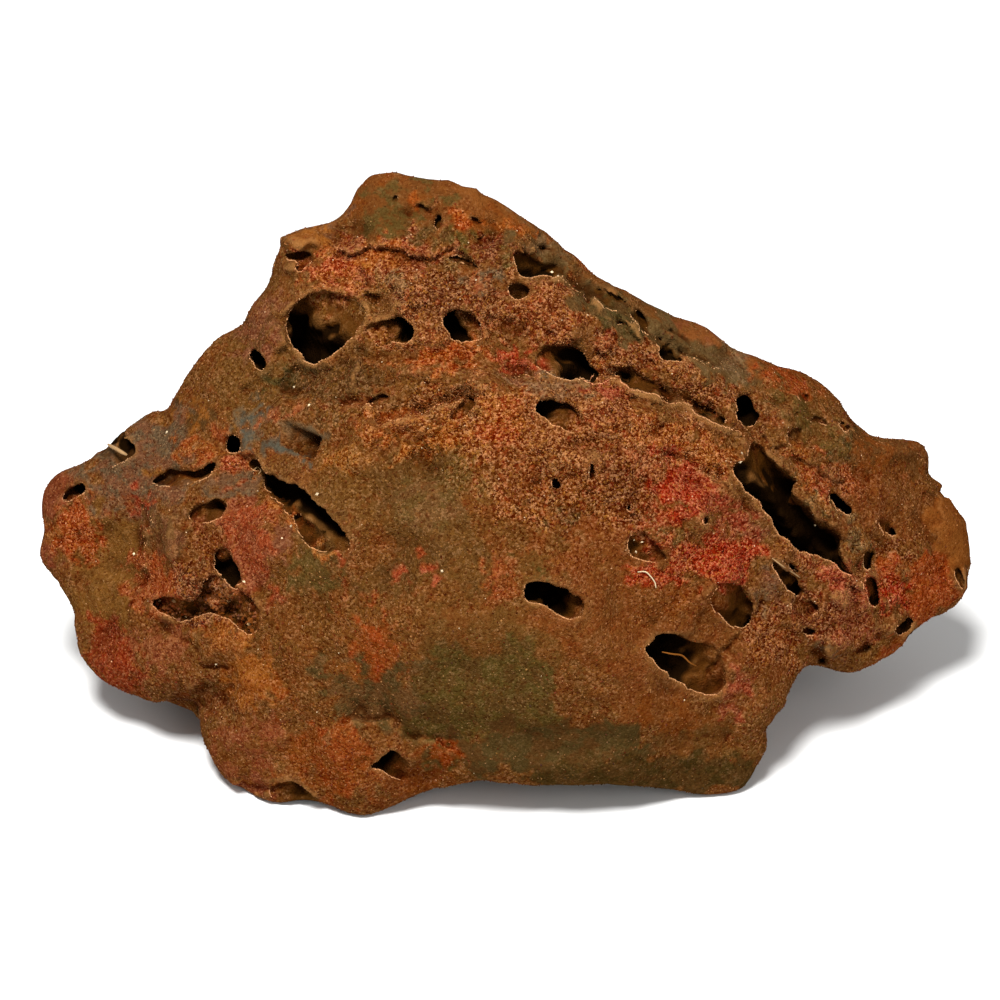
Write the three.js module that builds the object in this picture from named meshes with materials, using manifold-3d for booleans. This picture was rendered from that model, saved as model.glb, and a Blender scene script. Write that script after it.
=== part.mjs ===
// Termite rock: one weathered laterite stone, drilled through by termite galleries.
// Millimetres, +Z up. The stone rests on the flat lands of its underside, and its broad
// pitted face looks towards -Y. The origin is the middle of the base of its bounding box.

import * as THREE from "three";
import { mergeVertices } from "three/addons/utils/BufferGeometryUtils.js";
import { SimplexNoise } from "three/addons/math/SimplexNoise.js";
import Module from "manifold-3d";

const wasm = await Module();
wasm.setup();

// Driving dimensions. The stone is about 234 wide, 140 high and 125 deep.
const FACE_TILT_DEG = 30; // how far the pitted face leans back from upright
const FACE_HEIGHT = 68.85; // height of the face's own zero above the base
const TAPER_LENGTH = 900; // the outline narrows towards a point this far in front of the face
const OUTLINE_STEPS = 2; // rim points for each outline point
const FRONT_RINGS = 16;
const FRONT_RING_POINTS = 120; // points that a full-size ring of the front would have
const BACK_RINGS = 11;
const BACK_RING_POINTS = 96;
const FRONT_REACH = 14; // how far one relief point is felt along the face
const BACK_REACH = 26;
const BIG_LUMPS = { size: 26, height: 3.2 };
const SMALL_LUMPS = { size: 13, height: 1.9 };
const BORE_SIDES = 10;
const GROUND_BLOCK = 320; // side of the block that cuts the underside flat
const STONE_COLOUR = 0x714321;

// The face frame: u runs to the right, v up the leaning face and w out of it.
const tilt = THREE.MathUtils.degToRad(FACE_TILT_DEG);
const FACE_RIGHT = new THREE.Vector3(1, 0, 0);
const FACE_UP = new THREE.Vector3(0, Math.sin(tilt), Math.cos(tilt));
const FACE_OUT = new THREE.Vector3(0, -Math.cos(tilt), Math.sin(tilt));

function place(u, v, w) {
  const narrowing = 1 - w / TAPER_LENGTH;
  return new THREE.Vector3(0, 0, FACE_HEIGHT)
    .addScaledVector(FACE_RIGHT, u * narrowing)
    .addScaledVector(FACE_UP, v * narrowing)
    .addScaledVector(FACE_OUT, w);
}

// Outline of the stone, clockwise from the left of its peak. Each point is [u, v, w].
const crest = [
  [-38.75, 72.5, -4], [-37, 76.25, -3], [-34, 80.5, -2], [-28.75, 82.25, -1], [-22, 80.5, 0],
  [-13, 81, 0], [-7, 78.25, 0], [2, 73, -2], [11, 67.25, -4],
];
const rightSlope = [
  [15.5, 63.25, -5], [20, 60, -6], [26, 55.25, -7], [32, 52.25, -9], [41, 47, -11],
  [47.5, 44.75, -12], [53, 42, -14], [61.25, 37.5, -16], [65, 35.25, -18], [72.5, 32.75, -20],
  [78.75, 30, -22], [83, 26.5, -23], [86.25, 23.75, -24], [86.75, 20.5, -24],
];
const rightEnd = [
  [92, 16.75, -27], [97.5, 15.25, -30], [103, 15, -33], [106.25, 14, -35], [108.25, 11.5, -37],
  [107.5, 8.5, -38], [106.5, 5, -38], [110.75, 3.5, -39], [112.5, -0.5, -40], [116.5, -5.25, -42],
  [117, -11.25, -43], [117.75, -18.75, -43], [117, -23.75, -42], [113.75, -27.5, -40],
];
const rightLobe = [
  [108.75, -28.75, -37], [104, -33, -34], [100, -37.25, -31], [95, -40.5, -28], [90, -42.75, -25],
  [86.25, -42.25, -22], [81.25, -40.5, -17], [77.5, -41, -12], [74, -44, -8],
];
const rightFoot = [
  [72, -47.5, -6], [71, -51, -6], [68.25, -53.5, -6], [66.75, -57, -7], [67.25, -60, -7],
  [65, -65.25, -8], [62, -71, -9], [59.5, -74, -10], [54.5, -75.25, -10], [50, -74.25, -8],
];
const frontArch = [
  [46.5, -72.75, -5], [41, -72, 0], [31.25, -71.75, 3], [20, -71, 5], [7.5, -71, 6],
  [-4, -70, 5], [-9.5, -70, 4],
];
const leftFoot = [
  [-15, -72, 2], [-22.5, -74.75, 1], [-28.75, -77.5, 0], [-35, -79.75, 0], [-39.25, -78, -1],
  [-43.75, -76, -2], [-50, -75.25, -3], [-56.25, -76.5, -4], [-61, -74.5, -6], [-67, -71, -8],
  [-70.75, -67, -10], [-72.5, -62.5, -12],
];
const leftHip = [
  [-74.5, -57.5, -15], [-76.75, -53.25, -18], [-82, -51.5, -20], [-88.75, -50.75, -23],
  [-93.75, -48, -25], [-100.5, -45, -27], [-104, -40, -29], [-105.25, -35.5, -30],
  [-106, -28.75, -32],
];
const leftEnd = [
  [-108, -23.5, -34], [-112, -18.5, -36], [-115, -15, -37], [-115.75, -11.25, -38],
  [-115, -7.5, -39], [-115.25, -2.5, -39], [-114, 3, -38], [-110, 6.25, -36],
  [-103, 10.25, -33], [-98.75, 13.75, -31], [-94, 17, -29], [-89.75, 21, -27],
];
const leftShoulder = [
  [-83.75, 23.75, -24], [-80.75, 26, -22], [-80, 30.5, -20], [-75, 36.25, -18], [-69.5, 41.5, -15],
  [-64, 44, -13], [-63.25, 47, -12], [-59.5, 51, -11], [-57.25, 57, -10], [-56, 62.5, -9],
  [-53.5, 66, -8], [-48.75, 67.75, -7], [-42.5, 69.75, -5],
];
const outline = [
  crest, rightSlope, rightEnd, rightLobe, rightFoot, frontArch, leftFoot, leftHip, leftEnd,
  leftShoulder,
].flat();
const OUTLINE_CENTRE = { u: -5, v: 10 };

// How far the two sides stand out at chosen places, away from the rim. Each is [u, v, w].
const frontRelief = [
  [-25, 73.75, 7], [-36.25, 66.25, 6], [-7.5, 68.75, 6], [15, 56.25, 9], [35, 43.75, 7],
  [55, 31.25, 6], [75, 18.75, 3], [92.5, 7.5, -4], [107.5, -5, -18], [-50, 58.75, 6],
  [-67.5, 35, -2], [-45, 50, 12], [-20, 52.5, 14], [0, 50, 15], [-45, 30, 18], [-25, 35, 19],
  [-7.5, 42.5, 18], [15, 42.5, 18], [30, 38.75, 16], [47.5, 26.25, 17], [-62.5, 20, 9],
  [-77.5, 15, 2], [-92.5, 10, -8], [-106.25, -1.25, -18], [-97.5, -15, -14], [-97.5, -32.5, -12],
  [-80, -5, 4], [-65, -7.5, 10], [-70, -25, 6], [-82.5, -37.5, 2], [-65, -40, 12],
  [-42.5, 12.5, 22], [-25, 17.5, 24], [-35, -15, 27], [-50, -30, 22], [-50, -50, 18],
  [-57.5, -65, 6], [-37.5, -67.5, 14], [-20, -67.5, 12], [-5, 17.5, 27], [15, 17.5, 28],
  [37.5, 15, 25], [52.5, 2.5, 22], [30, -5, 29], [0, -5, 31], [-15, -30, 32], [10, -35, 34],
  [-7.5, -55, 27], [15, -60, 24], [35, -50, 27], [50, -15, 24], [60, -35, 20], [55, -55, 14],
  [55, -67.5, 4], [72.5, -15, 12], [75, -30, 6], [90, -10, 2], [92.5, -27.5, -4],
  [107.5, -17.5, -16], [67.5, 0, 14], [60, 17.5, 12], [85, 5, 3],
];
const backRelief = [
  [-26, 74, -18], [-8, 68, -25], [18, 54, -36], [42, 38, -46], [68, 24, -52], [92, 8, -56],
  [108, -14, -60], [-46, 60, -28], [-66, 34, -42], [-90, 14, -54], [-108, -4, -56],
  [-100, -28, -58], [-78, -20, -68], [-48, 34, -52], [-14, 36, -56], [16, 22, -68],
  [-38, 10, -76], [46, 4, -76], [-60, -14, -80], [-6, -6, -88], [30, -22, -92],
  [72, -16, -74], [90, -30, -62], [-30, -34, -98], [-66, -44, -78], [56, -46, -82],
  [8, -52, -92], [-40, -66, -66], [30, -66, -66],
];

// Ledges where one crust of the stone ends above another. The surface on the right hand of a
// line stands up by rise and falls off over reach, and on its left hand it is grooved.
const frontLedges = [
  { // rim of the broad middle plate, under the row of galleries
    line: [
      [-0.75, 31.25], [5.75, 32], [16.25, 28], [22.5, 30], [28.75, 30.5], [40, 26.25],
      [48.25, 23.25], [54, 19.75], [59.5, 16], [62.75, 13],
    ],
    rise: 2.8, reach: 14, groove: 3, width: 6,
  },
  { // crust that ends against the smooth band of the right slope
    line: [
      [3.25, 54.25], [10, 55.5], [15, 56.25], [21.25, 52.5], [26.25, 46.25], [33.75, 43.75],
      [40, 37.5], [45, 35.75], [55, 32.5], [57.5, 30],
    ],
    rise: 2.2, reach: 8, groove: 2.4, width: 4.5,
  },
  { // upper crust that hangs over the middle of the face
    line: [[-5, 38.75], [-20, 38.75], [-25, 39.25], [-33.75, 38.75]],
    rise: 2.8, reach: 9, groove: 2.2, width: 6,
  },
  { // folded crease left of the middle
    line: [[-43.5, 26], [-35, 22], [-27.5, 20], [-15, 23.75], [-2.5, 28.75]],
    rise: 1.6, reach: 7, groove: 1.8, width: 4,
  },
  { // edge of the scooped hollow at the left end
    line: [[-90, -22.5], [-88.5, -15.5], [-88, -4], [-91, 2]],
    rise: 2.4, reach: 8, groove: 3.6, width: 12,
  },
  { // lumpy plate that makes the left foot
    line: [[-45, -54.5], [-30, -55], [-20, -60], [-11.25, -61.25], [-9.75, -65]],
    rise: 1.8, reach: 12, groove: 0.8, width: 6,
  },
  { // step at the right end
    line: [[109.5, -14.5], [110, -6.25], [109.5, -0.5], [105.5, 2]],
    rise: 1.8, reach: 6, groove: 1.4, width: 4,
  },
  { // plate left of the long slit
    line: [[-38, -12], [-50, -4], [-60, 7], [-63, 12], [-70, 18]],
    rise: 0.8, reach: 5, groove: 1.4, width: 7,
  },
];
const backBumps = [
  [50, 30, 3.5, 13], [-22, 24, 3, 12], [-72, 4, 3.6, 13], [30, -8, 3.4, 12], [80, -12, 3, 10],
  [10, 44, 2.6, 9], [-50, 30, 2.8, 10], [-12, -8, 3, 12], [98, -16, 2.6, 8],
];
const backLedges = [
  {
    line: [[85, -2], [60, 6], [38, 3], [12, 12], [-8, 8], [-26, 16]],
    rise: 4, reach: 16, groove: 3, width: 8,
  },
  {
    line: [[-20, -12], [-42, -6], [-60, -16], [-84, -12]],
    rise: 3.6, reach: 14, groove: 3, width: 8,
  },
  {
    line: [[70, -32], [46, -24], [22, -34], [2, -26]],
    rise: 3.2, reach: 12, groove: 2.6, width: 7,
  },
];

// Termite galleries and pits. A gallery runs through its stations [u, v, w, half width] from
// just outside the surface inwards. Its mouth is wide along a line turned by turn degrees from
// level, and flat times as high as it is wide.
const frontGalleries = [
  { // big hollow below the left shoulder, with its shallow right lobe
    stations: [[-43.5, 44.6, 19, 11.4], [-44.4, 43.8, 10, 10], [-46, 41.5, 3, 7.8],
      [-47.5, 40.5, -6, 6], [-49, 39.5, -20, 4.2]],
    flat: 0.92, sides: 12,
  },
  {
    stations: [[-38.5, 47, 18, 6], [-39.5, 46.5, 9, 5.4], [-42, 45, 4, 4]],
    flat: 0.8,
  },
  { stations: [[-23.75, 42.25, 24, 2.9], [-24, 42, 13, 2.6], [-26, 41, -3, 2]] },
  {
    stations: [[-11, 43.25, 24, 3.8], [-11, 43.2, 13, 3.5], [-10, 42, -3, 2.6]],
    flat: 0.66, turn: -50,
  },
  {
    stations: [[-60.75, 35, 5, 2.9], [-60.75, 35, -5, 2.6], [-60, 35, -15, 2]],
    flat: 0.62, turn: 85, sides: 8,
  },
  { // long recess under the smooth band
    stations: [[9.5, 59, 12, 7], [9.5, 59.4, 4, 6.6], [9.5, 60.5, -6, 4.6]],
    flat: 0.5, turn: -12,
  },
  { stations: [[4.5, 53, 16, 3.5], [4.5, 53, 9, 3.1], [4.2, 53.3, 5.5, 2.1]], sides: 8 },
  {
    stations: [[19.25, 34.4, 22, 6.4], [19.25, 34.7, 12, 6], [18.5, 36.5, 0, 5],
      [17, 38.5, -16, 3]],
    flat: 0.72, turn: -8,
  },
  {
    stations: [[35.5, 29.8, 18, 7], [35, 30.2, 9, 6.4], [33, 31.5, 0, 4.6], [31.5, 33, -8, 3.2]],
    flat: 0.5, turn: -18,
  },
  {
    stations: [[42.75, 37.25, 11, 3.4], [42.75, 37.4, 2, 3.1], [42, 39, -11, 2]],
    flat: 0.62, turn: -15, sides: 8,
  },
  {
    stations: [[52.5, 21.25, 15, 4], [52.5, 21.5, 8, 3.8], [52, 22, 2, 2.6]],
    flat: 0.36, turn: -20, sides: 8,
  },
  {
    stations: [[61.75, 22.6, 10, 4.1], [61.75, 22.6, 1, 3.8], [60.5, 23, -14, 2.6]],
    flat: 0.7, turn: 85,
  },
  {
    stations: [[35, 45.25, 11, 3], [35, 45.25, 4, 2.8], [35, 45, 0, 2]],
    flat: 0.42, turn: 105, sides: 8,
  },
  // the long channel at the right: a trench, and two bores that go on from its floor
  {
    stations: [[59.8, 10.8, 8, 1], [61.5, 9.2, 6, 2.2], [65.5, 5, 3, 3.9], [70.6, 0.2, 0, 4.8],
      [76, -5.6, -5, 5.1], [81.4, -11, -11, 4.5], [85.2, -15.4, -16, 3], [87, -17.6, -18, 1]],
    flat: 2.1, turn: 43, sides: 12,
  },
  { stations: [[70.5, 0.5, 2, 4.6], [74, -4, -14, 4.4], [78, -8, -26, 3.2]], flat: 0.9, turn: -45 },
  {
    stations: [[78, -7.5, -4, 5], [80.5, -10.5, -18, 4.4], [83, -13, -32, 3]],
    flat: 0.9, turn: -45,
  },
  {
    stations: [[85.25, -1.25, -1, 2.9], [85.25, -1.25, -9, 2.6], [85, -1, -19, 1.9]],
    flat: 0.86, sides: 8,
  },
  {
    stations: [[96.5, -7, -10, 2.8], [96.5, -7, -19, 2.5], [96, -7, -26, 1.8]],
    flat: 0.68, turn: -25, sides: 8,
  },
  {
    stations: [[92, -15.25, -7, 2.8], [92, -15.25, -15, 2.5], [91.5, -15, -21, 1.8]],
    flat: 0.52, turn: 88, sides: 8,
  },
  {
    stations: [[93, -22, -5, 3.1], [93, -22, -12, 2.7], [92.5, -22, -16, 1.8]],
    flat: 0.6, turn: 80, sides: 8,
  },
  {
    stations: [[101.25, -31.25, -18, 2.6], [101.25, -31.25, -27, 2.3], [100.5, -31, -35, 1.7]],
    sides: 8,
  },
  {
    stations: [[115, -20, -31, 3.1], [115, -20, -37, 2.7], [114.5, -20, -41, 1.8]],
    flat: 0.5, turn: 85, sides: 8,
  },
  // two pockets with a thin web between them
  {
    stations: [[69.75, -18, 9, 3.7], [69.75, -18, 1, 3.3], [69, -18, -5, 2.2]],
    flat: 0.72, turn: 80, sides: 8,
  },
  {
    stations: [[74.2, -20.9, 7, 3.3], [74.2, -20.9, -1, 2.9], [73.6, -20.6, -6, 1.9]],
    flat: 0.66, turn: 80, sides: 8,
  },
  { stations: [[57.75, -25.75, 20, 6.4], [57.5, -25.5, 11, 5.8], [56.5, -25, 5, 3.8]] },
  { // wide hollow low on the right
    stations: [[47.8, -41.4, 25, 12], [46.2, -40.6, 15, 10.8], [42.8, -39.5, 5, 7.6],
      [40.5, -39, -8, 5.4], [38.5, -38, -24, 3.6]],
    flat: 0.6, turn: -30, sides: 12,
  },
  { // gallery in the middle of the belly
    stations: [[13.8, -25, 41, 7.7], [12.8, -25, 31, 7], [10.5, -24.5, 18, 5], [8, -24, 2, 3.2]],
    flat: 0.6, turn: -10,
  },
  {
    stations: [[15, 21, 33, 6.4], [14, 21.2, 25, 5.7], [12, 22, 13, 4.2], [10.5, 22.5, 0, 2.8]],
    flat: 0.72, turn: -10,
  },
  {
    stations: [[14, 3.25, 35, 2.4], [14, 3.25, 28, 2.1], [13.6, 3.2, 20, 1.5]],
    flat: 0.6, turn: 85, sides: 8,
  },
  {
    stations: [[34.25, -10.75, 31, 3.5], [34.25, -10.75, 25, 3], [34, -10.5, 22, 1.8]],
    flat: 0.7, turn: 60, sides: 8,
  },
  { // hollow in the left foot
    stations: [[-27, -66.25, 16, 5.3], [-27, -66, 7, 4.7], [-29, -64, -11, 2.8]],
    flat: 0.62, turn: -10,
  },
  { // crumbled cavity in the left flank
    stations: [[-68.5, -16.2, 10, 4.9], [-68.3, -16.5, 2, 4.4], [-67, -16, -9, 3]],
    flat: 0.82, turn: 80,
  },
  {
    stations: [[-73.5, -26, 12, 13], [-73.5, -26, 5, 10.5], [-73.5, -26, 1.2, 5]],
    flat: 0.48, turn: 12,
  },
  {
    stations: [[-72.75, -3, 8, 4.5], [-72.75, -3, 0, 4], [-72, -2.8, -5, 2.6]],
    flat: 0.62, turn: 12, sides: 8,
  },
  {
    stations: [[-87.5, 6.6, -9, 0.8], [-84, 6, -8, 1.9], [-79, 5.2, -6, 1.8], [-74, 6.2, -3, 1.3],
      [-71, 7, -1, 0.6]],
    flat: 2.4, turn: 92, sides: 8,
  },
  { stations: [[-66.5, 14.25, 7, 2.2], [-66.5, 14.25, -1, 2], [-66, 14, -10, 1.5]], sides: 8 },
  // the long slit: a trench that is deepest at its upper end, and a bore that goes on from it
  {
    stations: [[-62.4, 9.8, 3, 0.7], [-59.5, 7, 4, 1.8], [-54.5, 2.4, 7, 2.8], [-49.5, -2, 12, 3.5],
      [-45, -6, 18, 3.4], [-41, -9.8, 23, 2.2], [-39.2, -11.6, 25, 0.8]],
    flat: 2.6, turn: 48, sides: 12,
  },
  { stations: [[-53, 1, 8, 3.6], [-54.5, 2.6, -6, 3.4], [-56, 4, -20, 2.4]], flat: 0.8, turn: -42 },
  {
    stations: [[-95.5, 12, -14, 4.7], [-95.2, 12, -23, 4.2], [-93, 11, -38, 2.5]],
    flat: 0.82, turn: 10,
  },
  {
    stations: [[-106.25, 2.25, -20, 3.2], [-106, 2.2, -29, 2.8], [-104.5, 2, -37, 2]],
    flat: 0.72, turn: -15, sides: 8,
  },
  { stations: [[-9.5, 23, 31, 3.6], [-9.5, 23, 25.5, 3], [-9.5, 23, 23.5, 1.8]], sides: 8 },
  {
    stations: [[-52, -71.8, 6, 4.8], [-52, -71, -2, 4], [-51.5, -69.5, -7, 2.4]],
    flat: 0.6, sides: 8,
  },
  {
    stations: [[-51.5, 59, 13, 5.5], [-51.5, 59, 5.5, 4.6], [-51.5, 59, 3, 2.4]],
    flat: 0.6, turn: 20, sides: 8,
  },
];

// Rectangular cast of a splinter of slate that fell out, left of the middle.
const SPLINTER = { u: -51.8, v: 15.4, w: 12, long: 13.5, high: 5.6, deep: 7, turn: -22 };

// Knuckles and crumbs of hard clay on the face: [u, v, height, width].
const frontBumps = [
  [86, -24.5, 3, 6], [90.5, -31, 2.4, 5], [83.5, -34, 2.6, 5], [-90, -26, 2.4, 8],
  [-79, -21.5, 2.6, 3], [-83.5, -26.5, 2.2, 3], [-74, -20.5, 1.6, 3], [-63, -24, 1.8, 4],
  [-20, -46, 1.4, 9], [46, -59, 1.2, 7], [-57, -8, 1.6, 8], [22, 8, 1.4, 9], [58, 6, 1.6, 6],
  [-28, 56, 2, 8], [-4, 62, 1.6, 6], [-36, 30, 1.6, 6], [-8, 5, -1.2, 7],
];

// Galleries of the back and the ends, listed in the same way.
const backGalleries = [
  { stations: [[20, 40, -51, 5.2], [20, 39, -41, 4.6], [18, 36.5, -26, 3]], flat: 0.8, turn: -15 },
  { stations: [[-40, 40, -49, 3.3], [-40, 40, -40, 2.9], [-38, 38, -27, 2.1]], sides: 8 },
  {
    stations: [[-15, 60, -31, 3.2], [-15, 60, -23, 2.7], [-14, 58, -15, 1.8]],
    flat: 0.8, sides: 8,
  },
  { stations: [[0, 60, -32, 2.6], [0, 60, -25, 2.2], [0, 60, -21, 1.5]], sides: 8 },
  {
    stations: [[60, 20, -62, 4.4], [60, 20, -53, 3.9], [57, 18, -36, 2.5]],
    flat: 0.7, turn: 20, sides: 8,
  },
  {
    stations: [[-70, 10, -67, 7], [-70, 10, -57, 6], [-66, 8, -40, 3.4]],
    flat: 0.62, turn: -15,
  },
  {
    stations: [[-20, 10, -84, 9], [-20, 10.5, -74, 7.6], [-17, 13, -56, 4.4]],
    flat: 0.6, turn: 12, sides: 12,
  },
  { stations: [[-6, 23, -72, 3.2], [-6, 23, -64, 2.8], [-7, 22, -52, 2]], sides: 8 },
  {
    stations: [[30, 5, -83, 3.8], [30, 5, -74, 3.3], [31, 7, -57, 2.2]],
    flat: 0.8, turn: 70, sides: 8,
  },
  { stations: [[70, -5, -72, 6], [70, -5, -63, 5.2], [67, -3, -47, 3.2]], flat: 0.66, turn: -30 },
  { stations: [[95, -5, -60, 3.1], [95, -5, -52, 2.7], [93, -5, -43, 1.8]], sides: 8 },
  { stations: [[50, -20, -84, 4.6], [50, -20, -75, 4], [49, -18, -60, 2.6]], flat: 0.8, sides: 8 },
  {
    stations: [[0, -15, -93, 4.2], [0, -15, -84, 3.7], [2, -12, -68, 2.4]],
    flat: 0.7, turn: 60, sides: 8,
  },
  {
    stations: [[-50, -10, -83, 5.6], [-50, -10, -74, 5], [-48, -8, -60, 3]],
    flat: 0.5, turn: 30, sides: 8,
  },
  {
    stations: [[-80, -20, -67, 3.7], [-80, -20, -58, 3.2], [-78, -18, -46, 2.1]],
    flat: 0.8, sides: 8,
  },
  {
    stations: [[-122, -8, -44, 3.2], [-113, -8, -44, 2.8], [-101, -7, -45, 1.9]],
    turn: 90, sides: 8,
  },
  {
    stations: [[124, -14, -50, 3.4], [114, -14, -50, 3], [101, -13, -50, 2]],
    flat: 0.8, turn: 90, sides: 8,
  },
  { stations: [[-98, -56, -42, 3.6], [-96, -44, -42, 3], [-94, -33, -42, 2]], flat: 0.8, sides: 8 },
  {
    stations: [[88, -52, -45, 4.2], [87, -42, -45, 3.6], [86, -30, -46, 2.2]],
    flat: 0.7, sides: 8,
  },
];

// Shallow hollows worn into the underside, which leave the flat lands that the stone rests on:
// [x, y, half length, half width, height], measured from the middle of the face's own zero.
const baseHollows = [
  [-4, -8, 25, 13, 5], [26, 14, 17, 20, 4], [-32, 18, 15, 17, 4.5],
];

function smoothFall(distance, width) {
  return Math.exp(-((distance / width) ** 2));
}

// Height that a ledge adds at (u, v). It fades out towards both ends of its line.
function ledgeHeight({ line, rise, reach, groove, width }, u, v) {
  let nearest = Infinity;
  let onRight = false;
  let position = 0;
  for (let i = 0; i + 1 < line.length; i += 1) {
    const [startU, startV] = line[i];
    const alongU = line[i + 1][0] - startU;
    const alongV = line[i + 1][1] - startV;
    const reached = ((u - startU) * alongU + (v - startV) * alongV) / (alongU ** 2 + alongV ** 2);
    const share = THREE.MathUtils.clamp(reached, 0, 1);
    const distance = Math.hypot(u - startU - share * alongU, v - startV - share * alongV);
    if (distance < nearest) {
      nearest = distance;
      onRight = alongV * (u - startU) > alongU * (v - startV);
      position = (i + share) / (line.length - 1);
    }
  }
  const strength = THREE.MathUtils.clamp(5 * Math.min(position, 1 - position), 0, 1);
  if (onRight) return rise * smoothFall(nearest, reach) * strength;
  return -groove * smoothFall(nearest, width) * strength;
}

// Places where the stone is worn smooth, so that its lumps are low:
// [u, v, half width, half height].
const wornAreas = [[-2, -34, 36, 34], [42, 47, 26, 9], [-22, 76, 16, 7]];

function wornShare(u, v) {
  let share = 0;
  for (const [areaU, areaV, halfWidth, halfHeight] of wornAreas) {
    share = Math.max(share, smoothFall(Math.hypot((u - areaU) / halfWidth, (v - areaV) / halfHeight), 1));
  }
  return share;
}

// Depth between the relief points: each is felt less the further away it is.
function reliefDepth(points, reach, u, v) {
  let total = 0;
  let weights = 0;
  for (const [pointU, pointV, depth] of points) {
    const away = ((u - pointU) ** 2 + (v - pointV) ** 2) / reach ** 2;
    const weight = Math.exp(-away) + 1e-6 / (1 + away);
    total += weight * depth;
    weights += weight;
  }
  return total / weights;
}

// A small generator of repeatable numbers, for the noise that makes the lumps.
function seededRandom(seed) {
  let state = seed;
  return () => {
    state = (state * 1664525 + 1013904223) % 4294967296;
    return state / 4294967296;
  };
}

const noise = new SimplexNoise({ random: seededRandom(7) });

function lumps(point) {
  const { size: bigSize, height: bigHeight } = BIG_LUMPS;
  const { size: smallSize, height: smallHeight } = SMALL_LUMPS;
  const big = noise.noise3d(point.x / bigSize, point.y / bigSize, point.z / bigSize);
  const small = noise.noise3d(point.x / smallSize, point.y / smallSize, point.z / smallSize);
  return bigHeight * big + smallHeight * small;
}

// The two sides of the stone, each a height over the outline.
const front = {
  relief: frontRelief, reach: FRONT_REACH, ledges: frontLedges, bumps: frontBumps,
  facing: 1, rings: FRONT_RINGS, ringPoints: FRONT_RING_POINTS, thickness: 32,
};
const back = {
  relief: backRelief, reach: BACK_REACH, ledges: backLedges, bumps: backBumps,
  facing: -1, rings: BACK_RINGS, ringPoints: BACK_RING_POINTS, thickness: 90,
};

// How full a side is at a share of the way from its middle, 0, to the rim, 1.
function fullnessAt(share) {
  return Math.sqrt(1 - share ** 3);
}

// Point of one side of the stone, at a share of the way to a point of the rim.
function sidePoint(side, share, rim) {
  const u = OUTLINE_CENTRE.u + share * (rim.x - OUTLINE_CENTRE.u);
  const v = OUTLINE_CENTRE.v + share * (rim.y - OUTLINE_CENTRE.v);
  const fullness = fullnessAt(share);
  let proud = 0;
  for (const ledge of side.ledges) proud += ledgeHeight(ledge, u, v);
  for (const [bumpU, bumpV, height, width] of side.bumps) {
    proud += height * smoothFall(Math.hypot(u - bumpU, v - bumpV), width);
  }
  let depth = rim.z * (1 - fullness) + reliefDepth(side.relief, side.reach, u, v) * fullness;
  depth += side.facing * proud * Math.min(1, 2 * fullness);
  const lumpiness = side === front ? 1 - 0.75 * wornShare(u, v) : 1.5;
  depth += lumps(place(u, v, depth)) * fullness * lumpiness;
  return place(u, v, depth);
}

const rimCurve = new THREE.CatmullRomCurve3(
  outline.map(([u, v, w]) => new THREE.Vector3(u, v, w)),
  true,
);
rimCurve.arcLengthDivisions = 1200;

// Rim points, each with its share of the way round.
function makeRim() {
  const count = outline.length * OUTLINE_STEPS;
  const lengths = rimCurve.getLengths();
  const whole = lengths[lengths.length - 1];
  const ring = [];
  for (let i = 0; i < count; i += 1) {
    const along = lengths[Math.round((i / count) * rimCurve.arcLengthDivisions)] / whole;
    const point = rimCurve.getPoint(i / count);
    ring.push({ along, point: place(point.x, point.y, point.z) });
  }
  return ring;
}

// Shares of the way to the rim that are evenly spaced along a side's curved section.
function evenShares({ rings, thickness }) {
  const samples = 400;
  const halfWidth = 85;
  const travelled = [0];
  for (let i = 1; i <= samples; i += 1) {
    const fall = thickness * (fullnessAt((i - 1) / samples) - fullnessAt(i / samples));
    travelled.push(travelled[i - 1] + Math.hypot(halfWidth / samples, fall));
  }
  const shares = [];
  for (let ring = 1; ring < rings; ring += 1) {
    const target = (travelled[samples] * ring) / rings;
    shares.push(travelled.findIndex((distance) => distance >= target) / samples);
  }
  return shares;
}

function makeSideRings(side) {
  return evenShares(side).map((share, i) => {
    const count = Math.max(8, Math.round(side.ringPoints * share));
    const ring = [];
    for (let j = 0; j < count; j += 1) {
      const along = (j + (i % 2) / 2) / count;
      ring.push({ along, point: sidePoint(side, share, rimCurve.getPointAt(along)) });
    }
    return ring;
  });
}

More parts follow.
